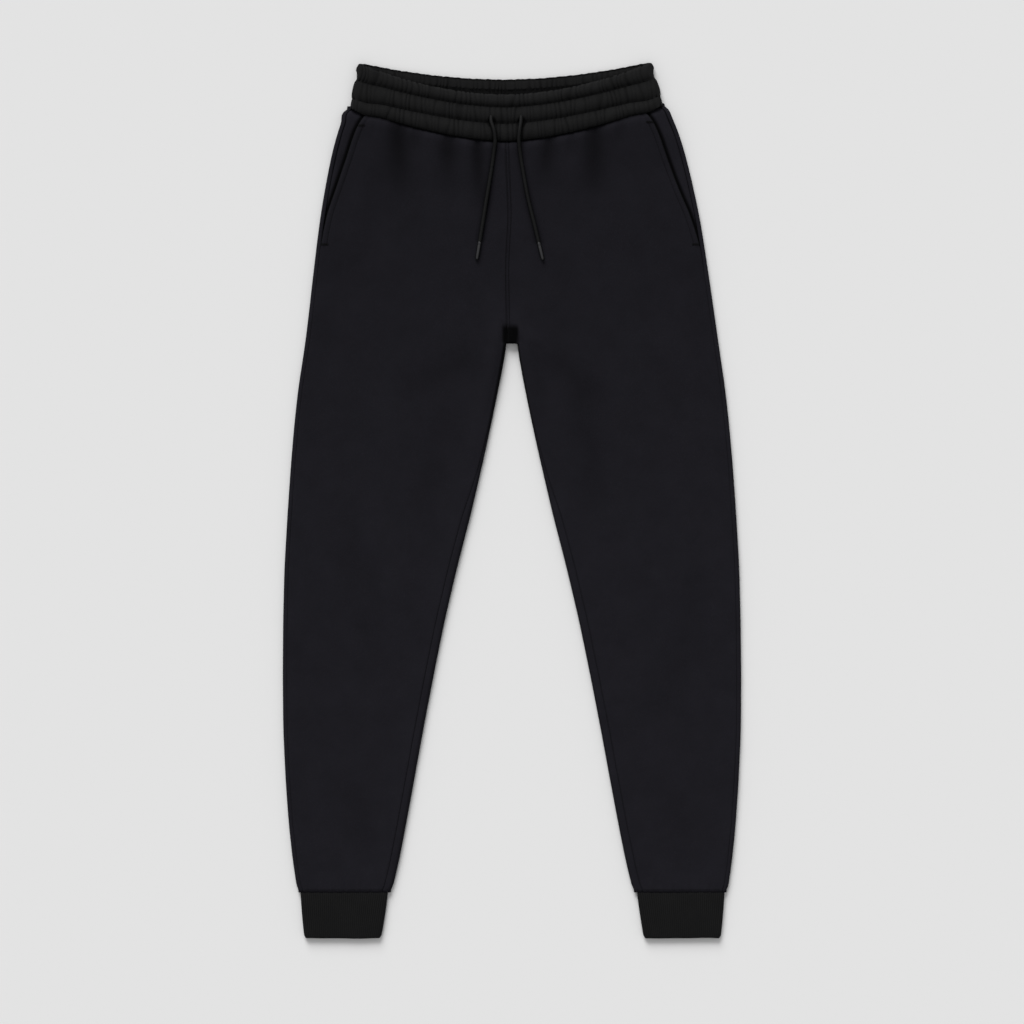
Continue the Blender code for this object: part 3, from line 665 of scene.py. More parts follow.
def ring_place(stretch, part, low, high, depth, radius):
    """Distance across and height on a flattened tube that lies from low to high."""
    straight_low, straight_high = low + radius, high - radius
    turn = math.pi * radius
    x = np.where(stretch == 0, straight_low + part * (straight_high - straight_low),
                 straight_high + part * (straight_low - straight_high))
    z = np.where(stretch == 0, 2 * radius - depth, depth)
    left_x, left_z = around_fold(0.0, turn * (1.0 - part), depth, radius)
    right_x, right_z = around_fold(0.0, turn * part, depth, radius)
    x = np.where(stretch == 1, high - left_x, np.where(stretch == 3, low + right_x, x))
    z = np.where(stretch == 1, left_z, np.where(stretch == 3, right_z, z))
    return x, z


def join_section(*grids):
    """Repeats the first row of each grid after its last, so that a ring's section closes."""
    return [np.concatenate([grid, grid[:1]]) for grid in grids]


def round_ring(flat_x, flat_z):
    """Distance travelled round a ring, at each of its columns."""
    steps = np.hypot(np.gradient(flat_x.mean(axis=0)), np.gradient(flat_z.mean(axis=0)))
    return np.concatenate([[0.0], np.cumsum(steps)[:-1]])


# The waistband's rolls, as parts of its height, at its middle and at its side folds.
ROLL_EDGES = np.array([0.0, 0.39, 0.745, 1.0])
ROLL_EDGES_AT_SIDES = np.array([0.0, 0.24, 0.66, 1.0])
ROLL_BULGE = np.array([0.0, 0.0008, -0.0026])       # how far each roll stands out at the side folds
OUTER_STEPS, TOP_STEPS, INNER_STEPS = 12, 3, 6      # rows of points on each roll and over the top
BAND_WALL = 0.0050                                  # the doubled rib and the elastic in it
CUFF_WALL = 0.0026                                  # the doubled rib of a cuff
BUTTONHOLE_DROP = 0.0068                            # from a cord's exit down to its buttonhole's middle


def rolls(steps):
    """Roll, and part of that roll, of each row of points up the waistband's three rolls."""
    return [(min(i // steps, 2), i / steps - min(i // steps, 2)) for i in range(3 * steps + 1)]


def between_rolls(part, sharpness):
    """1 in the grooves between rolls and 0 on top of a roll."""
    return 1.0 - max(math.sin(math.pi * part), 0.0) ** sharpness


def band_section(groove_depth, wall):
    """The waistband's section: for each point its roll, the part of that roll and its depth, up the outer
    face, over the top and down the inner face. A part above 1 is over the top edge."""
    section = [(roll, part, groove_depth * between_rolls(part, 0.75)) for roll, part in rolls(OUTER_STEPS)]
    for i in range(1, TOP_STEPS + 1):
        turn = i / (TOP_STEPS + 1)
        over_top = 1.0 + 0.06 * math.sin(math.pi * turn)
        section.append((2, over_top, groove_depth + (wall - groove_depth) * turn))
    for roll, part in reversed(rolls(INNER_STEPS)):
        section.append((roll, part, wall - 0.5 * groove_depth * between_rolls(part, 0.55)))
    return [np.array(column) for column in zip(*section)]


def band_gathers(around, up, roll, count):
    """How strong the waistband's fine gathers are at each place, and 1 in the valleys between them."""
    phase = (0.5 * count * around + 0.8 * np.sin(around * 9 + 2.0 * up)
             + 0.6 * np.sin(around * 23 + 4.0 * up + 1.0) + 0.45 * np.sin(around * 41 - 3.0 * up)
             + 0.9 * np.sin(around * 31 + 2.4 * roll))
    strength = 0.62 + 0.38 * np.sin(around * 17 + 2.0 * roll) * np.sin(around * 29 + 1.0 + 1.3 * roll)
    return strength, (1.0 - np.abs(np.sin(phase))) ** 1.4


def band_points(settings):
    """Points and UVs of the waistband, a ring with a closed section, and the shade painted on it."""
    stretch, part = ring_columns(360, 24, 300)
    roll, roll_part, depth = band_section(settings.groove_depth, BAND_WALL)
    radius = form.band_fold

    # The rolls narrow towards the side folds, where the lowest one turns in under the body.
    middle_up, side_up = (edges[roll] + roll_part * (edges[roll + 1] - edges[roll])
                          for edges in (ROLL_EDGES, ROLL_EDGES_AT_SIDES))
    stretch, part = stretch[None, :], part[None, :]
    to_side = np.where(stretch % 2 == 1, 1.0, np.abs(2.0 * part - 1.0)) ** 3
    up = middle_up[:, None] * (1.0 - to_side) + side_up[:, None] * to_side
    to_fold = np.where(stretch % 2 == 1, 1.0, np.abs(2.0 * part - 1.0) ** 30)
    depth = depth[:, None] * (1.0 - to_fold * (0.70 + 0.20 * (1.0 - fade(up, 0.02, 0.16))))
    outer_face = np.arange(len(roll))[:, None] < 3 * OUTER_STEPS + 2
    bulge = (ROLL_BULGE[roll] * np.sin(math.pi * np.clip(roll_part, 0.0, 1.0)) ** 0.6)[:, None]
    low = form.band_seam_ends[0] * (1.0 - up) + form.band_top_ends[0] * up - bulge
    high = form.band_seam_ends[1] * (1.0 - up) + form.band_top_ends[1] * up + bulge
    flat_x, flat_z = ring_place(stretch, part, low, high, 0.0, radius)

    # Distance round the ring, and fine gathers that run up across all three rolls.
    travel = round_ring(flat_x, flat_z)
    count = round(travel[-1] / settings.gather_pitch)
    around = 2.0 * math.pi * travel[None, :] / travel[-1]
    strength, valley = band_gathers(around, up, roll[:, None], count)
    strength = strength * (1.0 - 0.4 * to_fold)
    gather = settings.gather_depth * strength * valley
    lies_flat = np.where(outer_face, fade(flat_z, 0.05 * radius, 0.8 * radius), 1.0)
    sunk = np.where(outer_face, (depth + gather) * lies_flat, depth - 0.6 * gather)
    x, z = ring_place(stretch, part, low, high, sunk, radius)

    on_front = fade(z, radius - 0.0010, radius + 0.0010)
    share = (x - low) / (high - low)
    seam_x, top_x = form.along_band(share)
    seam = form.front_seam(seam_x) * on_front + form.back_seam(seam_x) * (1.0 - on_front)
    top = form.front_top(top_x) * on_front + form.back_top(top_x) * (1.0 - on_front)
    y = seam * (1.0 - up) + top * up + 0.0004 * uneven(around * 60, 2.0) * (up > 0.95)
    z = np.maximum(z, 0.0)
    groove = np.minimum(depth / settings.groove_depth, 1.0) * outer_face
    inside_top = np.where(outer_face, 0.0, 0.12 + 0.60 * (1.0 - fade(up, 0.66, 0.87)))
    # Painted shade: a little all over the band, in the gathers' valleys and the grooves, beside the cords, and
    # on the inner face, most of all below its top; painted highlight: the shade is left off along the outer
    # face's top edge.
    painted_rim_light = swell(up - 1.0, 0.05) * outer_face
    painted_shade = 0.07 * (1.0 - painted_rim_light) + 0.52 * strength * valley + 0.60 * groove ** 1.5 * (1.0 - painted_rim_light) + inside_top
    painted_shade = painted_shade + cord_shade(x, y) * (flat_z > radius) * outer_face

    # A shallow slit where each cord comes out, and shade painted in and round it.
    on_top = (flat_z > radius) * outer_face
    for side in (RIGHT, LEFT):
        off_x, off_y = x - CORD_ROUTES[side][0][X], y - CORD_ROUTES[side][0][Y] + BUTTONHOLE_DROP
        slit = np.hypot(off_x / 0.0032, off_y / 0.0062)
        z = z - 0.0024 * (1.0 - fade(slit, 0.55, 1.0)) * on_top
        shade = np.hypot((off_x - 0.0006) / 0.0066, off_y / 0.0078)
        painted_shade = painted_shade + 0.9 * (1.0 - fade(shade, 0.55, 1.0)) * on_top
    uv = np.stack([np.broadcast_to(travel[None, :], x.shape), up * 0.05], axis=-1)
    return join_section(np.stack([x, y, z], axis=-1), uv, np.broadcast_to(painted_shade, x.shape))


def cuff_points(side, settings):
    """Points and UVs of a cuff: the outer face, the folded lower edge and the inner face."""
    stretch, part = ring_columns(152, 18, 136)
    radius = form.cuff_fold
    levels = np.array([form.cuff_end_y + 0.002, form.cuff_top_y - 0.002])
    name = "cuff_" + SIDE_NAMES[side]
    ends = [side * measure(name, Y, levels, X, pick) for pick in (np.min, np.max)]
    ends = np.sort(np.stack(ends), axis=0)
    down_outside = np.linspace(1.0, 0.0, 20)
    rounded = 0.0008 * (1.0 - np.sin(math.pi * np.clip(down_outside, 0.02, 0.98)) ** 0.4)
    rise = np.concatenate([[1.025], down_outside, [-0.012, -0.016, -0.012], np.linspace(0.0, 1.02, 8)])
    depth = np.concatenate([[0.6 * CUFF_WALL], rounded, CUFF_WALL * np.array([0.3, 0.5, 0.7] + [1.0] * 8)])
    rise, depth = rise[:, None], depth[:, None]
    stretch, part = stretch[None, :], part[None, :]
    low = ends[0, 0] + rise * (ends[0, 1] - ends[0, 0])
    high = ends[1, 0] + rise * (ends[1, 1] - ends[1, 0])
    corner = 0.0012 * (1.0 - fade(rise, -0.01, 0.035))
    low, high = low + corner, high - corner
    flat_x, flat_z = ring_place(stretch, part, low, high, 0.0, radius)
    travel = round_ring(flat_x, flat_z)
    count = round(travel[-1] / settings.rib_pitch)
    valley = 0.5 - 0.5 * np.cos(2.0 * math.pi * count * travel[None, :] / travel[-1])
    outer_face = np.arange(len(rise))[:, None] < len(down_outside) + 3     # as far as the fold's middle
    off_floor = fade(flat_z, 0.05 * radius, 0.8 * radius)
    sunk = np.where(outer_face, (depth + settings.rib_depth * valley) * off_floor, depth)
    across, z = ring_place(stretch, part, low, high, sunk, radius)
    y = form.cuff_end_y + 0.0010 + rise * (form.cuff_top_y - form.cuff_end_y - 0.0012)
    y = y + 0.0006 * uneven(across / 0.018, 1.0 + side) * (1.0 - fade(rise, 0.0, 0.4))
    z = np.maximum(z, 0.0)
    y = np.broadcast_to(y, across.shape)
    uv = np.stack([np.broadcast_to(travel[None, :], across.shape), y], axis=-1)
    # Painted shade: a little all over the cuff's outer face, more in the valleys between its ribs and at its
    # top seam.
    painted_shade = (0.06 + 0.5 * valley + 0.2 * fade(rise, 0.97, 1.02)) * outer_face
    return join_section(np.stack([side * across, y, z], axis=-1), uv, painted_shade)


def tube_points(route, step, radius, count, relief):
    """Points, UVs and path of a round cord along a route. Relief takes the angle round it and the distance
    along it, and gives how deep the surface lies there."""
    path = smooth_route(route, step)
    spots = np.array(path)
    steps = np.linalg.norm(np.diff(spots, axis=0), axis=1)
    travel = np.concatenate([[0.0], np.cumsum(steps)])
    heading = np.gradient(spots, axis=0)
    heading /= np.linalg.norm(heading, axis=1)[:, None]
    sideways = np.cross(heading, [0.0, 0.0, 1.0])
    sideways /= np.linalg.norm(sideways, axis=1)[:, None]
    upwards = np.cross(sideways, heading)
    angle = np.linspace(0.0, 2.0 * math.pi, count + 1)[None, :]
    size = (radius - relief(angle, travel[:, None]))[:, :, None]
    points = spots[:, None, :] + size * (np.cos(angle)[:, :, None] * sideways[:, None, :]
                                         + np.sin(angle)[:, :, None] * upwards[:, None, :])
    uv = np.stack([np.broadcast_to(angle * radius, points.shape[:2]),
                   np.broadcast_to(travel[:, None], points.shape[:2])], axis=-1)
    deep = relief(angle, travel[:, None])
    # Painted shade: the colour darkens in the braid's valleys and on the cord's sides and underside.
    painted_shade = 0.5 * deep / max(deep.max(), 1e-9) + 0.9 * (1.0 - fade(np.sin(angle), 0.2, 0.8))
    return points, uv, painted_shade, path, travel[-1]


def smooth_route(route, step):
    """Closely spaced points on a smooth curve through a route's points."""
    spots = [Vector(spot) for spot in route]
    spots = [2 * spots[0] - spots[1]] + spots + [2 * spots[-1] - spots[-2]]
    path = []
    for before, start, end, after in zip(spots, spots[1:], spots[2:], spots[3:]):
        count = max(round((end - start).length / step), 1)
        for i in range(count):
            t = i / count
            path.append(0.5 * (2 * start + (end - before) * t
                               + (2 * before - 5 * start + 4 * end - after) * t**2
                               + (3 * start - before - 3 * end + after) * t**3))
    return path + [spots[-2]]


# ---------------------------------------------------------------- meshes

def grid_piece(name, points, uv, painted_shade, material, faces_up=True, closed=False, fill_ends=False):
    """A piece from a grid that is put on an array of points, row by row, with its UVs and the shade painted at
    each point. An open piece's faces look up or down, closed joins its ends, and fill_ends caps a tube."""
    row_count, column_count = points.shape[:2]
    bm = bmesh.new()
    bmesh.ops.create_grid(bm, x_segments=column_count - 1, y_segments=row_count - 1, size=0.5)
    mesh = bpy.data.meshes.new(name)
    bm.to_mesh(mesh)
    bm.free()
    flat = np.empty(len(mesh.vertices) * 3, dtype=np.float32)
    mesh.vertices.foreach_get("co", flat)
    column = np.rint((flat[0::3] + 0.5) * (column_count - 1)).astype(int)
    row = np.rint((flat[1::3] + 0.5) * (row_count - 1)).astype(int)
    mesh.vertices.foreach_set("co", points[row, column].astype(np.float32).ravel())
    corners = np.empty(len(mesh.loops), dtype=np.int32)
    mesh.loops.foreach_get("vertex_index", corners)
    layer = mesh.uv_layers.new(name=CLOTH_UV)
    layer.data.foreach_set("uv", uv[row, column][corners].astype(np.float32).ravel())
    # Painted shade: how far each point's colour is darkened to stand in for shade.
    mask = mesh.attributes.new(PAINTED_SHADE, "FLOAT", "POINT")
    mask.data.foreach_set("value", np.clip(painted_shade[row, column], 0.0, 1.0).astype(np.float32))

    bm = bmesh.new()
    bm.from_mesh(mesh)
    if closed:
        bmesh.ops.remove_doubles(bm, verts=bm.verts, dist=1e-6)
    if fill_ends:
        open_edges = [edge for edge in bm.edges if edge.is_boundary]
        bmesh.ops.holes_fill(bm, edges=open_edges, sides=0)
    if closed:
        bmesh.ops.recalc_face_normals(bm, faces=bm.faces)
        inside_out = bm.calc_volume(signed=True) < 0.0
    else:
        bm.normal_update()
        inside_out = (sum(face.normal.z * face.calc_area() for face in bm.faces) > 0.0) != faces_up
    if inside_out:
        bmesh.ops.reverse_faces(bm, faces=bm.faces)
    bm.to_mesh(mesh)
    bm.free()
    mesh.materials.append(material)
    mesh.shade_smooth()
    return add_object(name, mesh)


def fleece_name(panel, side):
    """Name of a panel's piece in fleece."""
    return panel + "_" + SIDE_NAMES[side] + "_fleece"


def add_object(name, mesh):
    """Links a mesh into the scene as an object at the origin."""
    built = bpy.data.objects.new(name, mesh)
    bpy.context.scene.collection.objects.link(built)
    return built


def add_mesh(name, bm, material):
    """Turns a bmesh into an object with one material."""
    mesh = bpy.data.meshes.new(name)
    bm.to_mesh(mesh)
    bm.free()
    mesh.materials.append(material)
    return add_object(name, mesh)


def thicken(piece, thickness):
    """Gives a sheet its wall, inwards from its outer face."""
    wall = piece.modifiers.new("Cloth wall", "SOLIDIFY")
    wall.thickness = thickness
    wall.offset = -1.0


def attach(piece, slot, *nodes):
    """The piece rides on the garment and stands for CAD nodes, which are hidden; the slot is not used."""
    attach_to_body(piece, "root")
    if nodes:
        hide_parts(*nodes)


# ---------------------------------------------------------------- materials

def node_group(name, inputs, outputs):
    """A new shader group with float or vector inputs and float outputs, and its input and output nodes."""
    group = bpy.data.node_groups.new(name, "ShaderNodeTree")
    for label, default in inputs:
        kind = "NodeSocketVector" if default is None else "NodeSocketFloat"
        socket = group.interface.new_socket(label, in_out="INPUT", socket_type=kind)
        if default is not None:
            socket.default_value = default
    for label in outputs:
        group.interface.new_socket(label, in_out="OUTPUT", socket_type="NodeSocketFloat")
    return group, group.nodes.new("NodeGroupInput"), group.nodes.new("NodeGroupOutput")


def math_node(tree, operation, first, second=None, third=None):
    """A Math node; each value is a number or a socket. Returns its output."""
    node = tree.nodes.new("ShaderNodeMath")
    node.operation = operation
    for i, value in enumerate((first, second, third)):
        if value is None:
            continue
        if isinstance(value, (int, float)):
            node.inputs[i].default_value = value
        else:
            tree.links.new(value, node.inputs[i])
    return node.outputs[0]


def noise_node(tree, place, scale, detail, roughness=0.6):
    """A Noise Texture's value at a place."""
    noise = tree.nodes.new("ShaderNodeTexNoise")
    noise.inputs["Detail"].default_value = detail
    noise.inputs["Roughness"].default_value = roughness
    if isinstance(scale, (int, float)):
        noise.inputs["Scale"].default_value = scale
    else:
        tree.links.new(scale, noise.inputs["Scale"])
    tree.links.new(place, noise.inputs["Vector"])
    return noise.outputs[0]


def knit_group(name, column, pitch):
    """A new shader group for a knit face, its output, and how many columns and courses in each place is."""
    group, inputs, outputs = node_group(
        name, [("Place", None), (column, pitch), ("Course", 0.0009)], ["Relief"])
    split = group.nodes.new("ShaderNodeSeparateXYZ")
    group.links.new(inputs.outputs["Place"], split.inputs[0])
    columns = math_node(group, "DIVIDE", split.outputs["X"], inputs.outputs[column])
    courses = math_node(group, "DIVIDE", split.outputs["Y"], inputs.outputs["Course"])
    return group, outputs.inputs["Relief"], columns, courses


def jersey_group():
    """Relief of a knit face: columns of V-shaped stitches."""
    found = bpy.data.node_groups.get("Jersey face")
    if found:
        return found
    group, relief, wale, course = knit_group("Jersey face", "Wale", 0.0011)
    off_middle = math_node(group, "SUBTRACT", math_node(group, "FRACT", wale), 0.5)
    off_middle = math_node(group, "ABSOLUTE", off_middle)
    slant = math_node(group, "MULTIPLY_ADD", off_middle, 1.3, course)
    stitch = math_node(group, "SINE", math_node(group, "MULTIPLY", slant, 2.0 * math.pi))
    valley = math_node(group, "POWER", math_node(group, "MULTIPLY", off_middle, 2.0), 3.0)
    column = math_node(group, "SUBTRACT", 1.0, valley)
    stitches = math_node(group, "MULTIPLY_ADD", stitch, 0.3, 0.7)
    group.links.new(math_node(group, "MULTIPLY", column, stitches), relief)
    return group


def rib_group():
    """Relief of fine rib: rounded ribs with stitches along them."""
    found = bpy.data.node_groups.get("Rib face")
    if found:
        return found
    group, relief, rib, course = knit_group("Rib face", "Pitch", 0.0012)
    ribs = math_node(group, "ABSOLUTE", math_node(group, "SINE", math_node(group, "MULTIPLY", rib, math.pi)))
    stitch = math_node(group, "SINE", math_node(group, "MULTIPLY", course, 2.0 * math.pi))
    stitches = math_node(group, "MULTIPLY_ADD", stitch, 0.12, 0.88)
    group.links.new(math_node(group, "MULTIPLY", ribs, stitches), relief)
    return group


def fuzz_group():
    """Uneven short fibres: a fine relief, a slow mottle and pale flecks, each about 0 to 1."""
    found = bpy.data.node_groups.get("Short fibres")
    if found:
        return found
    group, inputs, outputs = node_group(
        "Short fibres", [("Place", None), ("Fine scale", 700.0), ("Mottle scale", 28.0)],
        ["Relief", "Mottle", "Fleck"])
    place = inputs.outputs["Place"]
    fibre = noise_node(group, place, inputs.outputs["Fine scale"], 3.0)
    mottle = noise_node(group, place, inputs.outputs["Mottle scale"], 4.0, 0.7)
    group.links.new(fibre, outputs.inputs["Relief"])
    group.links.new(mottle, outputs.inputs["Mottle"])
    fleck = noise_node(group, place, math_node(group, "MULTIPLY", inputs.outputs["Fine scale"], 1.7), 1.0)
    raised = group.nodes.new("ShaderNodeMapRange")
    raised.interpolation_type = "SMOOTHSTEP"
    raised.inputs["From Min"].default_value = 0.58
    raised.inputs["From Max"].default_value = 0.75
    group.links.new(fleck, raised.inputs["Value"])
    group.links.new(raised.outputs[0], outputs.inputs["Fleck"])
    return group


def place_group(tree, group, place, **values):
    """Puts a shader group into a material, fed with a place and with its own values."""
    node = tree.nodes.new("ShaderNodeGroup")
    node.node_tree = group
    tree.links.new(place, node.inputs["Place"])
    for label, value in values.items():
        node.inputs[label.replace("_", " ").capitalize()].default_value = value
    return node


def shade_of(tree, colour, factor):
    """A colour times a factor that changes over the surface. Returns a colour output."""
    mix = tree.nodes.new("ShaderNodeMix")
    mix.data_type = "RGBA"
    mix.blend_type = "MULTIPLY"
    mix.inputs["Factor"].default_value = 1.0
    mix.inputs["A"].default_value = (*colour, 1.0)
    grey = tree.nodes.new("ShaderNodeCombineColor")
    for channel in range(3):
        tree.links.new(factor, grey.inputs[channel])
    tree.links.new(grey.outputs[0], mix.inputs["B"])
    return mix.outputs["Result"]


def painted_shade_factor(tree, share):
    """A factor of 1 on open cloth that drops by a share where shade is painted: it darkens the colour to stand
    in for shade.
    """
    mask = tree.nodes.new("ShaderNodeAttribute")
    mask.attribute_name = PAINTED_SHADE
    return math_node(tree, "SUBTRACT", 1.0, math_node(tree, "MULTIPLY", mask.outputs["Fac"], share))


def new_material(name, specular):
    """A new material, its node tree and its main shader."""
    material = bpy.data.materials.new(name)
    material.use_nodes = True
    shader = material.node_tree.nodes["Principled BSDF"]
    shader.inputs["Specular IOR Level"].default_value = specular
    return material, material.node_tree, shader


def add_bump(tree, height, shader):
    """Bumps a shader's surface by a height in metres."""
    bump = tree.nodes.new("ShaderNodeBump")
    bump.inputs["Strength"].default_value = 1.0
    bump.inputs["Distance"].default_value = 1.0
    tree.links.new(height, bump.inputs["Height"])
    tree.links.new(bump.outputs[0], shader.inputs["Normal"])


def cloth_material(name, colour, knit, knit_depth, fibre_depth, roughness, specular):
    """Knitted cloth: stitches, short fibres, slightly uneven dye, a soft sheen, and shade painted into the
    colour where the mesh marks it.
    """
    found = bpy.data.materials.get(name)
    if found:
        return found
    material, tree, shader = new_material(name, specular)
    uv = tree.nodes.new("ShaderNodeUVMap")
    uv.uv_map = CLOTH_UV
    object_place = tree.nodes.new("ShaderNodeTexCoord").outputs["Object"]
    stitches = place_group(tree, knit, uv.outputs[0])
    fibres = place_group(tree, fuzz_group(), object_place)
    factor = math_node(tree, "MULTIPLY_ADD", fibres.outputs["Mottle"], 0.5, 0.65)
    factor = math_node(tree, "MULTIPLY_ADD", stitches.outputs["Relief"], 0.25, factor)
    factor = math_node(tree, "MULTIPLY_ADD", fibres.outputs["Fleck"], 0.5, factor)
    # Painted shade: the colour darkens where the mesh's painted-shade attribute is high.
    factor = math_node(tree, "MULTIPLY", factor, painted_shade_factor(tree, 0.96))
    tree.links.new(shade_of(tree, colour, factor), shader.inputs["Base Color"])
    rough = math_node(tree, "MULTIPLY_ADD", fibres.outputs["Relief"], 0.12, roughness - 0.06)
    tree.links.new(rough, shader.inputs["Roughness"])
    height = math_node(tree, "MULTIPLY", stitches.outputs["Relief"], knit_depth)
    height = math_node(tree, "MULTIPLY_ADD", fibres.outputs["Relief"], fibre_depth, height)
    add_bump(tree, height, shader)
    shader.inputs["Sheen Weight"].default_value = 0.012
    shader.inputs["Sheen Roughness"].default_value = 0.6
    shader.inputs["Sheen Tint"].default_value = (0.75, 0.76, 0.85, 1.0)
    return material


def fleece_material():
    """The body cloth."""
    colours = bpy.context.scene.joggers_colours
    return cloth_material("Brushed fleece", colours.fleece, jersey_group(), knit_depth=0.00012,
                          fibre_depth=0.00022, roughness=0.94, specular=0.05)


def rib_material():
    """The waistband's and cuffs' cloth."""
    colours = bpy.context.scene.joggers_colours
    return cloth_material("Rib knit", colours.rib, rib_group(), knit_depth=0.00018,
                          fibre_depth=0.00015, roughness=0.92, specular=0.06)


def plain_material(name, colour, roughness, specular, grain, grain_depth):
    """Cord, tip or thread: a fine grain that changes colour, roughness and relief a little, and shade painted
    into the colour where the mesh marks it.
    """
    found = bpy.data.materials.get(name)
    if found:
        return found
    material, tree, shader = new_material(name, specular)
    place = tree.nodes.new("ShaderNodeTexCoord").outputs["Object"]
    fibres = place_group(tree, fuzz_group(), place, Fine_scale=grain)
    factor = math_node(tree, "MULTIPLY_ADD", fibres.outputs["Relief"], 0.6, 0.7)
    # Painted shade: the colour darkens where the mesh's painted-shade attribute is high.
    factor = math_node(tree, "MULTIPLY", factor, painted_shade_factor(tree, 0.90))
    tree.links.new(shade_of(tree, colour, factor), shader.inputs["Base Color"])
    rough = math_node(tree, "MULTIPLY_ADD", fibres.outputs["Mottle"], 0.16, roughness - 0.08)
    tree.links.new(rough, shader.inputs["Roughness"])
    add_bump(tree, math_node(tree, "MULTIPLY", fibres.outputs["Relief"], grain_depth), shader)
    return material


def floor_material(colour):
    """A plain pale matte floor."""
    material, _, shader = new_material("Pale floor", 0.1)
    shader.inputs["Base Color"].default_value = (*colour, 1.0)
    shader.inputs["Roughness"].default_value = 0.9
    return material


# ---------------------------------------------------------------- stitching

# Pitch, length and radius of each kind of stitch.
STITCHES = {
    "centre seam": (0.0030, 0.0024, 0.00032),
    "pocket mouth": (0.0030, 0.0024, 0.00030),
    "bartack": (0.0019, 0.0022, 0.00034),
    "hem": (0.0028, 0.0023, 0.00030),
    "waistband": (0.0028, 0.0023, 0.00028),
    "buttonhole": (0.0010, 0.0013, 0.00040),
}
STITCH_LIFT = 0.0002                # how far a stitch's middle lies above the cloth


def lay_stitches(bm, line, pitch, length, radius):
    """Puts stitches along a line of points: flat ellipsoids, half sunk into the cloth."""
    spots = [Vector(spot) for spot in line]
    travelled, due = 0.0, pitch / 2
    for start, end in zip(spots, spots[1:]):
        run = (end - start).length
        while run > 0.0 and due <= travelled + run:
            middle = start.lerp(end, (due - travelled) / run)
            put_stitch(bm, middle + Vector((0.0, 0.0, STITCH_LIFT)), end - start, length, radius)
            due += pitch
        travelled += run


def put_stitch(bm, middle, heading, length, radius):
    """One stitch, an ellipsoid along its heading."""
    turn = heading.to_track_quat("X", "Z").to_matrix().to_4x4()
    size = Matrix.Diagonal((length / 2, radius, radius * 0.8, 1.0))
    lay_down = Matrix.Rotation(math.pi / 2, 4, "Y")
    bmesh.ops.create_uvsphere(bm, u_segments=6, v_segments=4, radius=1.0,
                              matrix=Matrix.Translation(middle) @ turn @ size @ lay_down)


# ---------------------------------------------------------------- operators

class JOGGERS_OT_stage(bpy.types.Operator):
    """Adds the camera straight above, the pale floor and the soft lights"""
    bl_idname = "joggers.stage"
    bl_label = "Camera, floor and lights"

    def execute(self, context):
        settings = context.scene.joggers_stage
        view = bpy.data.cameras.new("Camera above")
        view.sensor_width = 36.0
        view.lens = view.sensor_width * settings.height / settings.field
        view.clip_end = 4 * settings.height
        camera = add_object("Camera above", view)
        camera.location = (*settings.aim, settings.height)
        context.scene.camera = camera

        bm = bmesh.new()
        bmesh.ops.create_grid(bm, x_segments=2, y_segments=2, size=6.0)
        floor = add_mesh("floor", bm, floor_material(context.scene.joggers_colours.floor))
        floor.location.z = -0.0002

        light = bpy.data.lights.new("Key", "SUN")
        light.energy = settings.key_strength
        light.angle = settings.key_softness
        key = add_object("Key", light)
        key.rotation_euler = (-(math.pi / 2 - settings.key_elevation), 0.0, settings.key_turn)
        key.location = (0.0, 1.5, 1.5)

        world = bpy.data.worlds.new("Even light")
        world.use_nodes = True
        background = world.node_tree.nodes["Background"]
        background.inputs["Color"].default_value = (1.0, 1.0, 1.0, 1.0)
        background.inputs["Strength"].default_value = settings.fill_strength
        context.scene.world = world
        context.scene.view_settings.view_transform = "Standard"
        return {"FINISHED"}


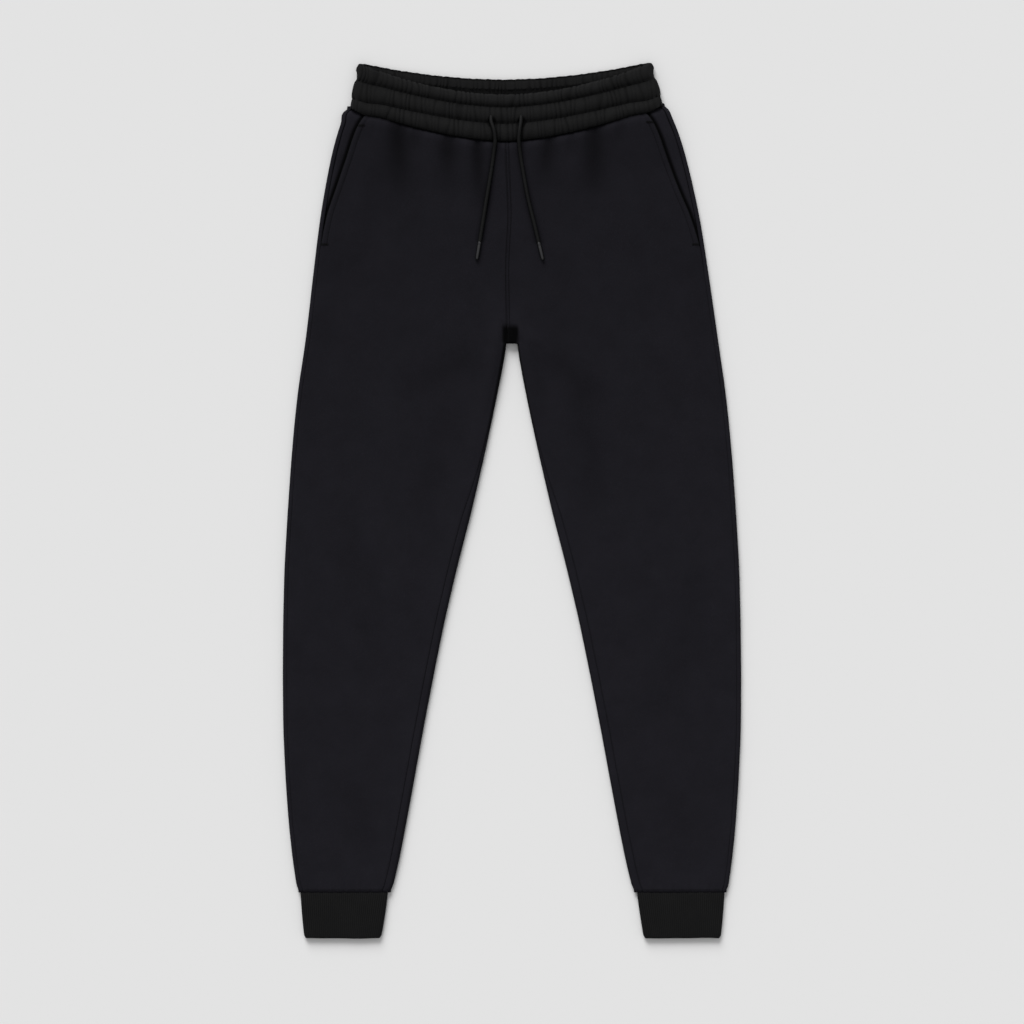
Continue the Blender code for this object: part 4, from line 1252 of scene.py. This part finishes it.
class JOGGERS_OT_drawcords(bpy.types.Operator):
    """Adds the two braided free ends of the drawcord and their glossy tips"""
    bl_idname = "joggers.drawcords"
    bl_label = "Drawcord ends"

    def execute(self, context):
        settings = context.scene.joggers_cord
        colours = context.scene.joggers_colours
        cord_look = plain_material("Braided cord", colours.cord, roughness=0.62, specular=0.11,
                                   grain=1500.0, grain_depth=0.0001)
        tip_look = plain_material("Glossy tip", colours.tip, roughness=0.30, specular=0.16,
                                  grain=300.0, grain_depth=0.00001)

        def braid(angle, travel):
            one = np.sin(4 * angle + 2 * math.pi * travel / settings.braid_pitch)
            other = np.sin(4 * angle - 2 * math.pi * travel / settings.braid_pitch)
            return settings.braid_depth * (1.0 - np.maximum(np.abs(one), np.abs(other))) * 2.0

        for side in (RIGHT, LEFT):
            name = SIDE_NAMES[side]
            *grids, path, length = tube_points(CORD_ROUTES[side], 0.0006, settings.radius, 32, braid)
            cord = grid_piece("drawcord_" + name + "_braided", *grids, cord_look, closed=True, fill_ends=True)
            attach(cord, "drawcord", "drawcord_" + name)
            tip = self.build_tip("cord_tip_" + name, path, settings.radius, tip_look)
            attach(tip, "cord_tip", "aglet_" + name)
        return {"FINISHED"}

    def build_tip(self, name, path, radius, look):
        """A moulded tip: a spun profile with a rounded end and two crimped rings."""
        heading = (path[-1] - path[-3]).normalized()
        length = 0.0220
        profile = [(0.0, 0.0), (0.0, 0.88), (0.0006, 1.03), (0.0030, 1.08), (0.0034, 1.00), (0.0040, 1.00),
                   (0.0044, 1.06), (0.0110, 1.04), (0.0190, 1.00), (0.0206, 0.94), (0.0215, 0.74),
                   (length, 0.40), (length, 0.0)]
        bm = bmesh.new()
        verts = [bm.verts.new((along, radius * share, 0.0)) for along, share in profile]
        edges = [bm.edges.new(pair) for pair in zip(verts, verts[1:])]
        bmesh.ops.spin(bm, geom=verts + edges, cent=(0.0, 0.0, 0.0), axis=(1.0, 0.0, 0.0), angle=2 * math.pi,
                       steps=32, use_merge=True)
        bmesh.ops.remove_doubles(bm, verts=bm.verts, dist=1e-6)
        bmesh.ops.recalc_face_normals(bm, faces=bm.faces)
        # Painted shade on the tip's sides and underside, which leaves a painted highlight along its top.
        mask = bm.verts.layers.float.new(PAINTED_SHADE)
        for vert in bm.verts:
            vert[mask] = 1.0 - fade(vert.co.z / radius, 0.76, 0.99)
        turn = heading.to_track_quat("X", "Z").to_matrix().to_4x4()
        bmesh.ops.transform(bm, matrix=Matrix.Translation(path[-1]) @ turn, verts=bm.verts)
        tip = add_mesh(name, bm, look)
        tip.data.shade_smooth()
        tip.data.set_sharp_from_angle(angle=math.radians(50))
        return tip


class JOGGERS_OT_panels(bpy.types.Operator):
    """Adds the two fronts and the two backs in brushed fleece"""
    bl_idname = "joggers.panels"
    bl_label = "Fronts and backs"

    def execute(self, context):
        settings = context.scene.joggers_cloth
        look = fleece_material()
        for side in (RIGHT, LEFT):
            name = SIDE_NAMES[side]
            front = grid_piece(fleece_name("front", side), *front_points(side, settings), look)
            thicken(front, settings.thickness)
            attach(front, "body_fleece", "front_" + name)
            back = grid_piece(fleece_name("back", side), *back_points(side), look, faces_up=False)
            thicken(back, settings.thickness)
            attach(back, "body_fleece", "back_" + name)
        return {"FINISHED"}


class JOGGERS_OT_pockets(bpy.types.Operator):
    """Adds the pocket facings that show at the slanted pocket mouths"""
    bl_idname = "joggers.pockets"
    bl_label = "Pocket facings"

    def execute(self, context):
        settings = context.scene.joggers_cloth
        for side in (RIGHT, LEFT):
            name = fleece_name("pocket_facing", side)
            facing = grid_piece(name, *facing_points(side), fleece_material())
            thicken(facing, settings.facing_thickness)
            attach(facing, "body_fleece", "pocket_facing_" + SIDE_NAMES[side])
        return {"FINISHED"}


class JOGGERS_OT_waistband(bpy.types.Operator):
    """Adds the gathered rib waistband with its three puffed rolls"""
    bl_idname = "joggers.waistband"
    bl_label = "Waistband"

    def execute(self, context):
        grids = band_points(context.scene.joggers_rib)
        band = grid_piece("waistband_rib", *grids, rib_material(), closed=True)
        attach(band, "rib_knit", "waistband")
        return {"FINISHED"}


class JOGGERS_OT_cuffs(bpy.types.Operator):
    """Adds the two rib cuffs"""
    bl_idname = "joggers.cuffs"
    bl_label = "Cuffs"

    def execute(self, context):
        for side in (RIGHT, LEFT):
            name = SIDE_NAMES[side]
            grids = cuff_points(side, context.scene.joggers_rib)
            cuff = grid_piece("cuff_" + name + "_rib", *grids, rib_material(), closed=True)
            attach(cuff, "rib_knit", "cuff_" + name)
        return {"FINISHED"}


class JOGGERS_OT_stitching(bpy.types.Operator):
    """Adds the topstitching, the bartacks and the sewn edges of the cord's buttonholes"""
    bl_idname = "joggers.stitching"
    bl_label = "Stitching"

    def execute(self, context):
        look = plain_material("Sewing thread", context.scene.joggers_colours.thread, roughness=0.70,
                              specular=0.06, grain=2500.0, grain_depth=0.00004)
        self.sew("stitches_centre_front", look, "body_fleece", self.centre_front())
        self.sew("stitches_pockets", look, "body_fleece", self.pocket_edges() + self.bartacks())
        self.sew("stitches_hems", look, "body_fleece", self.hems())
        self.sew("stitches_waistband", look, "rib_knit", self.band_rows() + self.buttonholes())
        return {"FINISHED"}

    def sew(self, name, look, slot, rows):
        """One piece of thread from many rows; each is a line of points and its kind of stitch."""
        bm = bmesh.new()
        for line, kind in rows:
            lay_stitches(bm, line, *STITCHES[kind])
        thread = add_mesh(name, bm, look)
        thread.data.shade_smooth()
        attach(thread, slot)

    def on_piece(self, name, spots):
        """Spots (x, y) dropped on to a piece from above."""
        surface = bpy.data.objects[name]
        line = []
        for x, y in spots:
            hit, place, _, _ = surface.ray_cast(Vector((x, y, 0.1)), Vector((0.0, 0.0, -1.0)))
            if hit:
                line.append(place)
        return line

    def centre_front(self):
        """Twin rows down both sides of the centre seam."""
        top = form.front_seam(form.centre(form.side_top[LEFT])) - 0.003
        ys = np.arange(top, form.crotch_y + 0.028, -0.004)
        rows = []
        for side in (RIGHT, LEFT):
            spots = [(form.centre(y) + side * SEAM_STITCHES, y) for y in ys]
            rows.append((self.on_piece(fleece_name("front", side), spots), "centre seam"))
        return rows

    def pocket_edges(self):
        """A row just inside each pocket mouth."""
        rows = []
        for side in (RIGHT, LEFT):
            top = form.front_edge[side].levels[-1]
            ys = np.arange(top - 0.010, form.pocket_end_y - 0.001, -0.004)
            spots = [(side * (form.front_edge[side](y) - MOUTH_STITCHES), y) for y in ys]
            rows.append((self.on_piece(fleece_name("front", side), spots), "pocket mouth"))
        return rows

    def bartacks(self):
        """A dense bar of thread across each end of the pocket mouths."""
        rows = []
        for side in (RIGHT, LEFT):
            top = form.front_edge[side].levels[-1] - 0.013
            for y in (top, form.pocket_end_y + 0.001):
                x = form.front_edge[side](y)
                for step in range(4):
                    insets = np.linspace(0.0090, 0.0006, 9)
                    spots = [(side * (x - inset), y + 0.0006 * step) for inset in insets]
                    rows.append((self.on_piece(fleece_name("front", side), spots), "bartack"))
        return rows

    def hems(self):
        """A row round each leg just above its cuff."""
        rows = []
        for side in (RIGHT, LEFT):
            y = form.hem_y + 0.0034
            inner, outer = form.inner[side](y) + 0.0030, form.outer[side](y) - 0.0030
            xs = np.arange(inner, outer, 0.004)
            start, end = form.front_inner[side](y) + 0.0008, form.front_edge[side](y) - 0.0008
            for panel in ("front", "back"):
                kept = [x for x in xs if (start < x < end) == (panel == "front")]
                for part in self.runs(kept, 0.005):
                    spots = [(side * x, y) for x in part]
                    rows.append((self.on_piece(fleece_name(panel, side), spots), "hem"))
        return rows

    def runs(self, values, step):
        """Splits rising values where they jump by more than a step."""
        parts = [[]]
        for value in values:
            if parts[-1] and value - parts[-1][-1] > step:
                parts.append([])
            parts[-1].append(value)
        return [part for part in parts if len(part) > 1]

    def band_rows(self):
        """A row in each of the waistband's two grooves, round its front."""
        rows = []
        for edge, edge_at_side in zip(ROLL_EDGES[1:3], ROLL_EDGES_AT_SIDES[1:3]):
            line = []
            for part in np.linspace(0.03, 0.97, 150):
                to_side = abs(2.0 * part - 1.0) ** 3
                up = edge * (1.0 - to_side) + edge_at_side * to_side
                seam_x, top_x = form.along_band(part)
                line.append((seam_x * (1.0 - up) + top_x * up,
                             form.front_seam(seam_x) * (1.0 - up) + form.front_top(top_x) * up))
            rows.append((self.on_piece("waistband_rib", line), "waistband"))
        return rows

    def buttonholes(self):
        """Satin stitches side by side round each slit."""
        rows = []
        for side in (RIGHT, LEFT):
            x, y = CORD_ROUTES[side][0][X], CORD_ROUTES[side][0][Y] - BUTTONHOLE_DROP
            turns = np.linspace(0.0, 2.0 * math.pi, 41)
            spots = [(x + 0.0036 * math.sin(turn), y + 0.0064 * math.cos(turn)) for turn in turns]
            rows.append((self.on_piece("waistband_rib", spots), "buttonhole"))
        return rows


PARTS = (
    JOGGERS_OT_stage, JOGGERS_OT_drawcords, JOGGERS_OT_panels, JOGGERS_OT_pockets, JOGGERS_OT_waistband,
    JOGGERS_OT_cuffs, JOGGERS_OT_stitching,
)


class JOGGERS_PT_build(bpy.types.Panel):
    """Lists the pieces and their settings"""
    bl_idname = "JOGGERS_PT_build"
    bl_label = "Jogger sweatpants"
    bl_space_type = "VIEW_3D"
    bl_region_type = "UI"
    bl_category = "Joggers"

    def draw(self, context):
        for part in PARTS:
            self.layout.operator(part.bl_idname)
        for label, settings in SETTINGS.items():
            box = self.layout.box()
            for name in settings.__annotations__:
                box.prop(getattr(context.scene, label), name)


SETTINGS = {
    "joggers_cloth": JoggersCloth,
    "joggers_rib": JoggersRib,
    "joggers_cord": JoggersCord,
    "joggers_colours": JoggersColours,
    "joggers_stage": JoggersStage,
}


def register():
    for settings in SETTINGS.values():
        bpy.utils.register_class(settings)
    for part in PARTS:
        bpy.utils.register_class(part)
    bpy.utils.register_class(JOGGERS_PT_build)
    for label, settings in SETTINGS.items():
        setattr(bpy.types.Scene, label, bpy.props.PointerProperty(type=settings))


def unregister():
    for label in SETTINGS:
        delattr(bpy.types.Scene, label)
    for registered in (JOGGERS_PT_build, *reversed(PARTS), *SETTINGS.values()):
        bpy.utils.unregister_class(registered)


def main():
    """Builds every piece in order."""
    register()
    bpy.ops.joggers.stage()
    bpy.ops.joggers.drawcords()
    bpy.ops.joggers.panels()
    bpy.ops.joggers.pockets()
    bpy.ops.joggers.waistband()
    bpy.ops.joggers.cuffs()
    bpy.ops.joggers.stitching()


if __name__ == "__main__":
    main()
